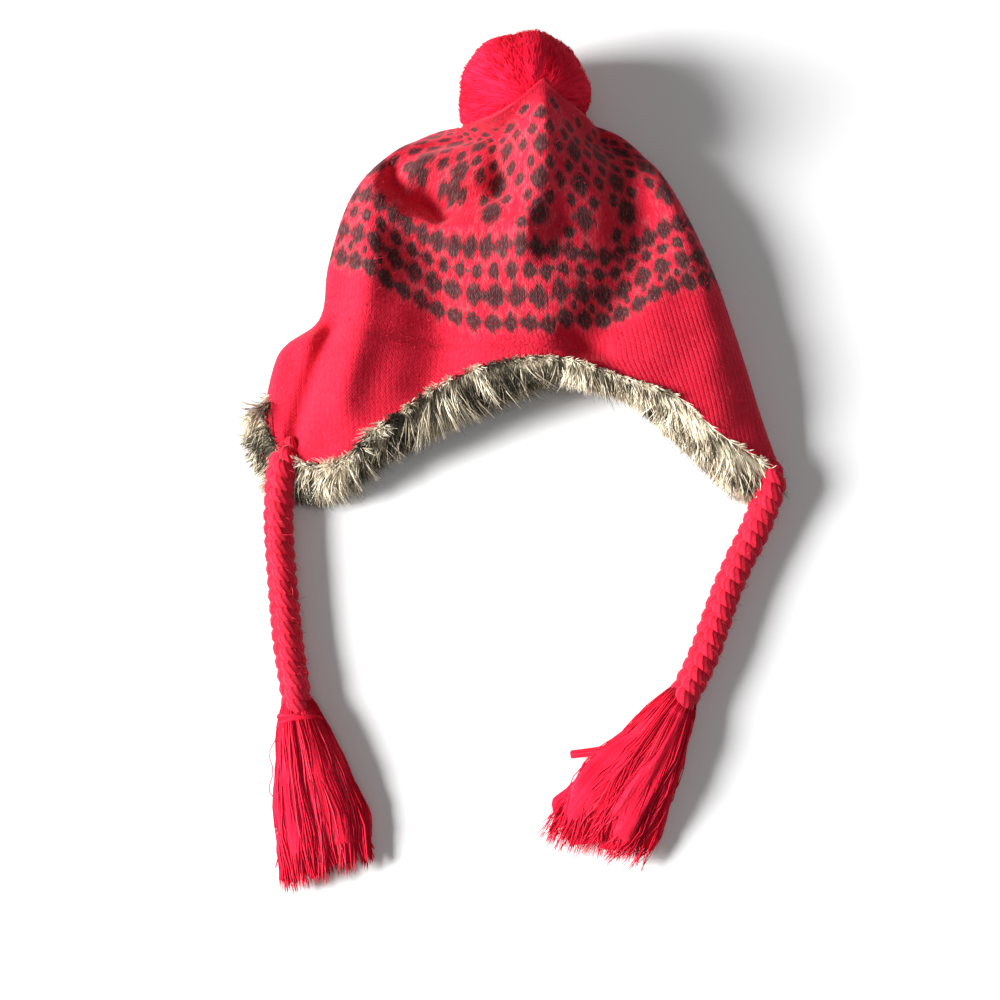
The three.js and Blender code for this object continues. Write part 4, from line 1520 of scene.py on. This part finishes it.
        # Painted light: the short hairs standing up at the top of the roll are lighter.
        tone += np.where(short, habit.short_lit_tone, 0.0)
        return np.clip(tone, 0, 1)

    def _comb(self, columns: np.ndarray) -> np.ndarray:
        """Returns how far the hairs are combed sideways: down the flap on the right, little on the left."""
        return np.interp(columns / self.form.face_columns, self.comb_places, self.combs)

    def _lining_hairs(self, part: Hem, count: int) -> tuple[np.ndarray, np.ndarray, np.ndarray]:
        """Lays the hairs that stand into the hollow, inside the hem.

        Args:
            part: The stretch of the hem.
            count: Number of hairs.

        Returns:
            Their lines, their radii and their tones.
        """
        columns = self._columns_of(part, count)
        places = np.linspace(0, self.lining_top, self.lining_rows)
        loops = np.array([self.form.loop(place) for place in places])
        outs = np.array([self.form.outward(place) for place in places])
        row = self.rng.integers(0, len(places), count)
        index = columns.astype(int) % self.form.columns
        base, out = loops[row, index], outs[row, index]
        root = base - out * (self.knit_mm + 0.4)
        up = unit(loops[-1, index] - loops[0, index])
        jitter = self.rng.normal(size=(count, 3)) * 0.35
        lean = unit(-out - up * 0.55 + jitter)
        size = self.pile_mm[part.value] * (0.75 + 0.35 * self.rng.random(count))
        lines, radii = self._hair(root, lean, jitter * 0.2, size)
        tone = np.clip(0.45 + 0.3 * self._mottle(root) + 0.25 * (self.rng.random(count) - 0.5), 0, 1)
        return lines, radii, tone

    def _hair(self, root: np.ndarray, lean: np.ndarray, bend: np.ndarray,
              size: np.ndarray) -> tuple[np.ndarray, np.ndarray]:
        """Draws hairs that leave their roots one way and curve another.

        Args:
            root: Where they start.
            lean: The way they leave.
            bend: The way they curve, at their tips.
            size: Their lengths.

        Returns:
            Their lines and their radii.
        """
        share = np.array(self.hair_places)
        reach = size[:, None, None] * share[None, :, None]
        curl = size[:, None, None] * (share**2)[None, :, None]
        lines = root[:, None] + lean[:, None] * reach + bend[:, None] * curl
        width = self.hair_radius_mm * (0.7 + 0.6 * self.rng.random(len(root)))
        # One more draw for each hair, which nothing uses, moves the random stream on.
        self.rng.random(len(root))
        return lines, width[:, None] * np.array(self.hair_taper)


# Heights along one side of the rim, and how far up the plan it stands at each, in mm.
Rim = tuple[tuple[float, ...], tuple[float, ...]]


@dataclass
class Pompom:
    """The yarn ball at the tip of the crown: a dense core, and cut wool combed away from the knitting."""

    rng: np.random.Generator
    middle_mm: Place = (5.0, 107.4, 38.0)
    radius_mm: float = 43.2
    core_share: float = 0.945
    hidden_share: float = 0.45
    pole: Place = (0.20, -0.42, 0.88)
    rim_split_mm: float = 9.0
    rim_left: Rim = ((8, 15, 42, 68, 79, 84), (84, 95, 88, 83, 85, 90))
    rim_right: Rim = ((8, 20, 42, 64, 79, 86), (84, 95, 90, 90, 93, 100))
    core_floor_mm: float = 2.0
    wool_floor_mm: float = 1.0
    lump_shares: tuple[float, float] = (0.018, 0.014)
    streak_turns: float = 17
    streaks_along: float = 1.5
    wisps: int = 6500
    wisp_radius_mm: float = 0.26
    wisp_swell: tuple[float, ...] = (0.8, 1.0, 0.9, 0.4)

    def build(self, finish: PileFinish, cloth: BVHTree) -> None:
        """Builds the core and its wisps, which stay clear of the knitting.

        Args:
            finish: The finish of the wool.
            cloth: The knitted shell that the ball sits against.
        """
        self._core(finish, cloth)
        lines, tones = self._wisps()
        keep = self._outside(cloth, lines)
        lines, tones = lines[keep], tones[keep]
        lines[..., 2] = np.maximum(lines[..., 2], self.wool_floor_mm)
        width = self.wisp_radius_mm * (0.75 + 0.5 * self.rng.random(len(lines)))
        radii = width[:, None] * np.array(self.wisp_swell)
        mesh = Strands(lines, radii, 3, tones).mesh("pompom_wool")
        linked("pompom_wool", mesh, finish.hair(), None)

    def _core(self, finish: PileFinish, cloth: BVHTree) -> None:
        """Builds the plush body of the ball, lumpy and streaked away from the pole.

        Args:
            finish: The finish of the wool.
            cloth: The knitted shell that the ball sits against.
        """
        ball = bmesh.new()
        bmesh.ops.create_icosphere(ball, subdivisions=6, radius=1.0)
        middle, pole, east, north = np.array(self.middle_mm), *self._frame()
        places = np.array([vertex.co for vertex in ball.verts])
        places = places / np.linalg.norm(places, axis=1, keepdims=True)
        polar = np.arccos(np.clip(places @ pole, -1, 1))
        turn = np.arctan2(places @ north, places @ east)
        far = self.radius_mm * (self.core_share + self._lumps(polar, turn))
        skin = middle + places * far[:, None]
        skin[:, 2] = np.maximum(skin[:, 2], self.core_floor_mm)
        for vertex, place in zip(ball.verts, metres(skin)):
            vertex.co = place
        hidden = [vertex for vertex in ball.verts if self._covered(cloth, vertex.co)]
        round_it = np.array([np.cos(turn), np.sin(turn)]) * self.streak_turns
        flow = np.stack([*round_it, polar * self.streaks_along], axis=1)
        for vertex in hidden:
            vertex.co = Vector(metres(middle)).lerp(vertex.co, self.hidden_share)
        mesh = finished(ball, "pompom_core")
        write_flow(mesh, flow)
        linked("pompom_core", mesh, finish.backing(), "pompom")

    def _frame(self) -> tuple[np.ndarray, np.ndarray, np.ndarray]:
        """Returns the pole and two directions square to it."""
        pole = unit(np.array(self.pole))
        east = unit(np.cross(pole, [0.0, 1.0, 0.0]))
        return pole, east, np.cross(pole, east)

    def _lumps(self, polar: np.ndarray, turn: np.ndarray) -> np.ndarray:
        """Returns how far the pile's surface stands out, as a share of the radius."""
        waves = np.sin(5 * turn + 3 * polar) * np.sin(polar) + 0.7 * np.sin(4 * polar + 2 * turn + 1.0)
        large, small = self.lump_shares
        return large * waves + small * np.sin(9 * turn + 2 * polar + 0.5) * np.sin(polar)

    def _covered(self, cloth: BVHTree, point: Vector) -> bool:
        """Returns whether a point lies under the knitting, or on the hat's side of the rim.

        Args:
            cloth: The knitted shell.
            point: The point, in metres.

        Returns:
            Whether it is covered.
        """
        x, y, height = np.array(point) / MM + ORIGIN_MM
        if y < np.interp(height, *(self.rim_left if x < self.rim_split_mm else self.rim_right)):
            return True
        _, normal, _, _ = cloth.ray_cast(point - Vector((0, 0, 0.3 * MM)), Vector((0, 0, 1)))
        return normal is not None and normal.z > 0

    def _wisps(self) -> tuple[np.ndarray, np.ndarray]:
        """Returns the lines and tones of wisps that run over the ball, away from the pole.

        Returns:
            The lines in millimetres, and the tones.
        """
        count = self.wisps
        pole, east, north = self._frame()
        height = 1 - 2 * (np.arange(count) + self.rng.random(count)) / count
        polar = np.arccos(height)
        turn = self.rng.random(count) * 2 * math.pi
        flow = 0.35 * np.sin(3 * turn + 2 * polar) + 0.35 * self.rng.normal(size=count)
        swing = 0.10 + 0.26 * np.sin(polar) * (0.6 + 0.7 * self.rng.random(count))
        share = np.linspace(0, 1, len(self.wisp_swell))
        polar_line = polar[:, None] + swing[:, None] * (share**1.3 - 0.5)
        turn_line = turn[:, None] + (flow * 0.12 / np.clip(np.sin(polar), 0.35, 1))[:, None] * share
        top = self.core_share + self._lumps(polar, turn) + 0.002 + 0.03 * self.rng.random(count) ** 2
        low = self.core_share - 0.06
        far = self.radius_mm * (low + (top - low)[:, None] * np.sin(share * math.pi * 0.5))
        lines = far[..., None] * (np.cos(polar_line)[..., None] * pole + np.sin(polar_line)[..., None]
                                  * (np.cos(turn_line)[..., None] * east
                                     + np.sin(turn_line)[..., None] * north))
        tones = np.clip(0.55 + 0.2 * np.sin(5 * turn + 3 * polar) + 0.3 * self.rng.normal(size=count), 0, 1)
        return lines + np.array(self.middle_mm), tones

    def _outside(self, cloth: BVHTree, lines: np.ndarray) -> np.ndarray:
        """Returns which lines lie wholly outside the knitting."""
        return np.array([not any(self._covered(cloth, Vector(point)) for point in line[1:])
                         for line in metres(lines)])


@dataclass
class Braid:
    """A tie: three plump strands of yarn that pass over each other along a route, ending in a knot."""

    name: str
    node: str
    route_mm: tuple[Place, ...]
    rng: np.random.Generator
    roll_deg: float = -46.0
    diameter_mm: float = 19.6
    pitch_mm: float = 25.0
    strand_mm: float = 5.6
    sideways_mm: float = 3.9
    depth_mm: float = 3.0
    steps: int = 190
    sides: int = 16
    fibres: int = 1500
    fibre_mm: tuple[float, float] = (4.0, 0.13)
    tones: Place = (0.5, 0.62, 0.42)
    neck_mm: float = 24.0
    dense: int = 240
    path_steps: int = 60
    floor_gap_mm: float = 0.3
    fuzz: bpy.types.Object | None = None

    def line(self, steps: int) -> np.ndarray:
        """Returns the middle line of the tie at evenly spread places."""
        dense = dense_spline(self.route_mm, self.dense)
        return at_places(dense, even_places(dense, steps))

    def build(self, finish: YarnFinish) -> bpy.types.Object:
        """Builds the braid.

        Args:
            finish: The yarn's finish.

        Returns:
            The piece.
        """
        middle = self.line(self.steps)
        run = run_of(middle)
        tangent = unit(np.gradient(middle, axis=0))
        flat = unit(np.cross(tangent, [0.0, 0.0, 1.0]))
        rise = np.cross(flat, tangent)
        roll = math.radians(self.roll_deg)
        side = flat * math.cos(roll) + rise * math.sin(roll)
        up = rise * math.cos(roll) - flat * math.sin(roll)
        neck = 0.50 + 0.50 * smooth(run / self.neck_mm)
        lines, radii = [], []
        for strand in range(3):
            turn = 2 * math.pi * (run / self.pitch_mm + strand / 3)
            lines.append(middle + side * (self.sideways_mm * np.sin(turn) * neck)[:, None]
                         + up * (self.depth_mm * np.sin(2 * turn) * neck)[:, None])
            radii.append(self.strand_mm * neck * (1 + 0.05 * np.sin(run * 0.31 + strand * 2.1)))
        lines, radii = np.array(lines), np.array(radii)
        lines[..., 2] = np.maximum(lines[..., 2], radii + self.floor_gap_mm)
        self._nap(lines, radii)
        body = Strands(lines, radii, self.sides, np.array(self.tones), along_in_mm=True).mesh(self.name)
        return linked(self.name, body, finish.material(), self.node)

    def _nap(self, lines: np.ndarray, radii: np.ndarray) -> None:
        """Scatters fine fibres over the strands, combed along them.

        Args:
            lines: The middle lines of the strands.
            radii: Their radii.
        """
        count = self.fibres
        strand, ring = self.rng.integers(0, 3, count), self.rng.integers(1, self.steps - 4, count)
        along = unit(np.gradient(lines, axis=1))[strand, ring]
        spread = self.rng.normal(size=(count, 3))
        normal = unit(spread - (spread * along).sum(1, keepdims=True) * along)
        root = lines[strand, ring] + normal * (radii[strand, ring] - 0.1)[:, None]
        name = f"{self.name}_fibres"
        self.fuzz = nap(name, root, normal, along, self.rng, *self.fibre_mm, FIBRE, "tie_yarn")

    def declare(self, tassel: list[bpy.types.Object]) -> None:
        """Args:
            tassel: The pieces of the cut ends on it; not used.
        """
        path = metres(self.line(self.path_steps))


@dataclass(frozen=True)
class StrayLock:
    """A lock that has come away from its tassel: its line in mm, its yarns and how wide they spread."""

    line_mm: tuple[Place, ...]
    yarns: int
    spread_mm: float
    yarn_mm: float


@dataclass
class Tassel:
    """The cut wool below a knot: a fluffy body under loose yarns in locks that fan out from a bound head."""

    name: str
    node: str
    rows_mm: tuple[tuple[float, float, float, float], ...]
    rng: np.random.Generator
    end_reach_mm: float = 15.0
    slant_mm: float = 2.0
    tousle_mm: float = 1.2
    lock_mm: float = 1.5
    wraps: int = 4
    floor_gap_mm: float = 0.2
    locks_per_half: float = 5.5
    wrap_place: float = 1.15
    wrap_step: float = 0.16
    wrap_radius_mm: float = 1.15
    yarns: int = 620
    yarn_radius_mm: float = 0.62
    rings: int = 12
    fringe_end: float = 1.12
    body_end: float = 1.08
    body_rings: int = 60
    body_sides: int = 72
    body_share: float = 0.93
    body_lumps: float = 0.10
    strays: tuple[StrayLock, ...] = ()

    def build(self, fleece: PileFinish) -> list[bpy.types.Object]:
        """Builds the tassel.

        Args:
            fleece: The finish of its wool.

        Returns:
            Its pieces: the body, then the yarns.
        """
        groups = [self._fringe(), self._binding(), *[self._stray(lock) for lock in self.strays]]
        lines, radii, tones = (np.concatenate(parts) for parts in zip(*groups))
        lines[..., 2] = np.maximum(lines[..., 2], radii + self.floor_gap_mm)
        mesh = Strands(lines, radii, 3, tones).mesh(self.name)
        yarns = linked(self.name, mesh, fleece.hair(), None)
        return [self._body(fleece), yarns]

    def _body(self, fleece: PileFinish) -> bpy.types.Object:
        """Builds the fluffy body as one closed loft with soft furrows along it.

        Args:
            fleece: The finish of the wool.

        Returns:
            The piece.
        """
        last, count = len(self.rows_mm) - 1, self.body_rings
        angle = 2 * math.pi * np.arange(self.body_sides) / self.body_sides
        across, rise = np.cos(angle), np.sin(angle)
        tail = self._tail()
        rings, flow = [], []
        for ring in range(count + 1):
            part = ring / count
            row, _, sideways = self._bundle(min(part * last * self.body_end, last))
            past = max(0.0, part * self.body_end - 1) / (self.body_end - 1)
            lump = np.sin(5 * angle + 3.4 * part + 0.7 * np.sin(6 * part))
            lump += 0.6 * np.sin(11 * angle - 5 * part + 1)
            lump += 0.4 * np.sin(23 * angle + 7 * part)
            size = (1 + self.body_lumps * part * lump) * self.body_share * (1 - 0.55 * past**2)
            ragged = self.end_reach_mm * (0.45 + 0.22 * np.sin(9 * across + 2) + 0.14 * np.sin(23 * across))
            ragged -= self.slant_mm * across
            drift = part * self.lock_mm * 0.5 * np.sin(4.0 * part + 1)
            points = np.zeros((self.body_sides, 3))
            points[:, :2] = (row[:2] + sideways * drift + (across * row[2] * size)[:, None] * sideways
                             + (past * ragged)[:, None] * tail)
            points[:, 2] = row[3] + rise * row[3] * size * (1 - 0.35 * past)
            rings.append(points)
            flow.append(np.stack([across * 9, rise * 9, np.full(self.body_sides, part * 2.4)], axis=1))
        rings = np.array(rings)
        rings[..., 2] = np.maximum(rings[..., 2], TABLE_CLEARANCE_MM)
        mesh = finished(bridged(rings, closed=False), f"{self.name}_body")
        write_flow(mesh, np.array(flow).reshape(-1, 3))
        return linked(f"{self.name}_body", mesh, fleece.backing(), self.node)

    def _fringe(self) -> tuple[np.ndarray, np.ndarray, np.ndarray]:
        """Lays the loose yarns on the body, from the knot to their cut ends.

        Returns:
            Their lines, their radii and their tones.
        """
        count, last = self.yarns, len(self.rows_mm) - 1
        radius = 0.90 + 0.14 * self.rng.random(count)
        angle = 2 * math.pi * self.rng.random(count)
        across, rise = radius * np.cos(angle), radius * np.sin(angle)
        lock = np.floor((across + 0.25 * rise + 1) * self.locks_per_half)
        shift = self.rng.random(count) * 0.5
        ends = self.end_reach_mm * (0.38 + 0.52 * self.rng.random(count)) - self.slant_mm * across
        ends += self.end_reach_mm * 0.16 * np.sin(lock * 2.3)
        tail = self._tail()
        lines = np.zeros((count, self.rings, 3))
        for ring, part in enumerate(np.linspace(0, 1, self.rings)):
            row, _, sideways = self._bundle(min(part * last * self.fringe_end, last))
            past = max(0.0, part * self.fringe_end - 1) / (self.fringe_end - 1)
            wave = np.sin(lock * 1.9 + 5.2 * part) + 0.45 * np.sin(lock * 4.1 + 9.0 * part)
            single = np.sin(shift * 12 + 8 * part) + 0.6 * np.sin(shift * 31 + 17 * part)
            drift = part * (self.lock_mm * wave * 0.6 + self.tousle_mm * single)
            offset = across * row[2] * 0.95 + drift
            lines[:, ring, :2] = row[:2] + offset[:, None] * sideways + (past * ends)[:, None] * tail
            lines[:, ring, 2] = row[3] + rise * row[3] * 0.93 * (1 - 0.4 * past)
        thickness = self.yarn_radius_mm * (0.55 + 0.6 * self.rng.random(count))
        radii = thickness[:, None] * np.ones((1, self.rings))
        radii[:, -1] *= 0.6
        tones = np.clip(0.60 + 0.16 * np.sin(lock * 3.3) + 0.5 * (self.rng.random(count) - 0.5), 0, 1)
        return lines, radii, tones

    def _binding(self) -> tuple[np.ndarray, np.ndarray, np.ndarray]:
        """Lays the turns of yarn that bind the head.

        Returns:
            Their lines, their radii and their tones.
        """
        angle = np.linspace(0, 2 * math.pi, self.rings)
        lines = np.zeros((self.wraps, self.rings, 3))
        for turn, line in enumerate(lines):
            row, axis, sideways = self._bundle(self.wrap_place + self.wrap_step * turn)
            slope = (3.6 + 1.2 * math.sin(2.4 * turn)) * np.cos(angle + 0.5 * turn)
            across = np.cos(angle) * row[2] * 0.97
            line[:, :2] = row[:2] + across[:, None] * sideways + slope[:, None] * axis
            line[:, 2] = row[3] + np.sin(angle) * (row[3] * 1.02 - 0.6)
        return lines, np.full((self.wraps, self.rings), self.wrap_radius_mm), np.full(self.wraps, 0.6)

    def _stray(self, lock: StrayLock) -> tuple[np.ndarray, np.ndarray, np.ndarray]:
        """Lays the yarns of one stray lock.

        Args:
            lock: The lock.

        Returns:
            Their lines, their radii and their tones.
        """
        middle = dense_spline(lock.line_mm, self.rings - 1)
        axis = unit(np.gradient(middle, axis=0))
        sideways = unit(np.cross(axis, [0.0, 0.0, 1.0]))
        up = np.cross(sideways, axis)
        angle = 2 * math.pi * self.rng.random(lock.yarns)
        radius = np.sqrt(self.rng.random(lock.yarns)) * lock.spread_mm
        offset = (radius * np.cos(angle))[:, None, None] * sideways
        offset = offset + (radius * np.sin(angle))[:, None, None] * up
        radii = np.full((lock.yarns, self.rings), lock.yarn_mm)
        return middle[None] + offset, radii, 0.35 + 0.5 * self.rng.random(lock.yarns)

    def _row(self, place: float) -> np.ndarray:
        """Returns the bundle's middle and sizes between two rows."""
        rows = np.array(self.rows_mm, float)
        index = min(len(rows) - 2, int(place))
        return rows[index] * (1 - (place - index)) + rows[index + 1] * (place - index)

    def _bundle(self, place: float) -> tuple[np.ndarray, np.ndarray, np.ndarray]:
        """Finds the bundle at a place between its rows.

        Args:
            place: Index of the row, with its fraction.

        Returns:
            Its middle and sizes, its direction in plan and the direction across it.
        """
        last = len(self.rows_mm) - 1
        ahead, behind = self._row(min(last, place + 0.3)), self._row(max(0, place - 0.3))
        axis = unit(ahead[:2] - behind[:2])
        return self._row(place), axis, np.array([-axis[1], axis[0]])

    def _tail(self) -> np.ndarray:
        """Returns the direction in plan in which the cut ends point."""
        before, after = np.array(self.rows_mm[-2:], float)
        return unit(after[:2] - before[:2])


LEFT_TASSEL_STRAYS = (
    StrayLock(((-139, -288, 12), (-147, -293, 6), (-152.5, -303, 4), (-150, -314, 2.5), (-152.5, -326, 2),
               (-148, -331, 3)), 1, 0.1, 0.35),
    StrayLock(((-136, -330, 9), (-141, -345, 5), (-145, -362, 3), (-147.5, -372, 1.5)), 1, 0.1, 0.5),
    StrayLock(((-102, -338, 9), (-96, -352, 5), (-93, -360, 3), (-92.5, -367, 1.5)), 2, 0.6, 0.7),
)
RIGHT_TASSEL_STRAYS = (
    StrayLock(((82, -297, 14), (62, -300, 10), (46, -302.5, 7), (34, -304, 4.5)), 40, 2.2, 0.75),
    StrayLock(((70, -318, 16), (54, -334, 12), (40, -350, 7)), 30, 2.2, 0.75),
    StrayLock(((80, -322, 16), (84, -338, 12), (86, -354, 6)), 30, 2.4, 0.75),
)


@dataclass
class Studio:
    """Pale floor, a low key light from the left, soft fill, and the camera above the hat."""

    camera_place: Place = (-0.00645, -0.3058, 1.0758)
    camera_pitch_deg: float = 81.43
    focal_px: float = 1719.0
    picture_px: float = 1000.0
    sensor_mm: float = 36.0
    floor_half_m: float = 4.0
    surround_strength: float = 0.15

    def camera(self) -> None:
        """Adds the camera and makes it the scene's own."""
        data = bpy.data.cameras.new("camera")
        data.sensor_width = self.sensor_mm
        data.lens = self.sensor_mm * self.focal_px / self.picture_px
        camera = bpy.data.objects.new("camera", data)
        camera.location = self.camera_place
        camera.rotation_euler = (math.radians(90 - self.camera_pitch_deg), 0, 0)
        bpy.context.scene.collection.objects.link(camera)
        bpy.context.scene.camera = camera

    def floor(self) -> None:
        """Adds the pale floor."""
        slab = bmesh.new()
        bmesh.ops.create_grid(slab, x_segments=1, y_segments=1, size=self.floor_half_m)
        mesh = finished(slab, "floor")
        graph = Graph("floor_paper")
        graph.set(Base_Color=(0.9, 0.9, 0.9), Roughness=0.9, Specular_IOR_Level=0.1)
        mesh.materials.append(graph.material)
        floor = bpy.data.objects.new("floor", mesh)
        bpy.context.scene.collection.objects.link(floor)

    def lights(self) -> None:
        """Adds the key light, the fill light and the pale surround."""
        self._area(name="key", place=(-3.10, -0.36, 1.58), target=(0.0, -0.08, 0.02), size=1.30, power=360.0)
        self._area(name="fill", place=(0.25, -0.35, 2.0), target=(0.0, -0.1, 0.0), size=1.4, power=5.0)
        world = bpy.data.worlds.new("surround")
        world.use_nodes = True
        background = world.node_tree.nodes["Background"]
        background.inputs["Color"].default_value = (1, 1, 1, 1)
        background.inputs["Strength"].default_value = self.surround_strength
        bpy.context.scene.world = world
        bpy.context.scene.view_settings.view_transform = "Standard"

    def _area(self, name: str, place: Place, target: Place, size: float, power: float) -> None:
        """Adds a square light that faces a target.

        Args:
            name: Its name.
            place: Where it stands, in metres.
            target: What it faces, in metres.
            size: Its side, in metres.
            power: Its power, in watts.
        """
        data = bpy.data.lights.new(name, "AREA")
        data.size = size
        data.energy = power
        light = bpy.data.objects.new(name, data)
        light.location = place
        facing = Vector(target) - Vector(place)
        light.rotation_euler = facing.to_track_quat("-Z", "Y").to_euler()
        bpy.context.scene.collection.objects.link(light)


def main() -> None:
    """Builds the studio, then the ties, the hat, its fur, the pompom and the tassels."""
    logging.basicConfig(level=logging.INFO, format="%(name)s: %(message)s")
    rng = np.random.default_rng(SEED)
    studio = Studio()
    studio.camera()
    left = dict(end_reach_mm=20.0, slant_mm=4.5, tousle_mm=1.6, lock_mm=2.6, body_lumps=0.12,
                strays=LEFT_TASSEL_STRAYS)
    right = dict(end_reach_mm=21.0, slant_mm=6.0, tousle_mm=3.2, lock_mm=5.5, body_lumps=0.20, wraps=0,
                 yarns=420, yarn_radius_mm=0.42, strays=RIGHT_TASSEL_STRAYS)
    sides = (("left", TIE_LEFT_ROUTE, TASSEL_LEFT_ROWS, left),
             ("right", TIE_RIGHT_ROUTE, TASSEL_RIGHT_ROWS, right))
    for side, route, rows, habit in sides:
        braid = Braid(f"braid_{side}", f"tie_{side}", route, rng)
        cord = braid.build(YarnFinish())
        tassel = Tassel(f"tassel_yarn_{side}", f"tassel_{side}", rows, rng, **habit)
        braid.declare(tassel.build(FLEECE))
    form = KnitForm(face_columns=192, back_columns=192)
    knit = KnitShell(form, rng).build(KnitFinish())
    cloth = BVHTree.FromPolygons([vertex.co for vertex in knit.data.vertices],
                                 [tuple(face.vertices) for face in knit.data.polygons])
    FurTrim(form, rng).build(FUR, cloth)
    Pompom(rng).build(PLUSH, cloth)
    studio.floor()
    studio.lights()
    bpy.context.view_layer.update()


if __name__ == "__main__":
    main()
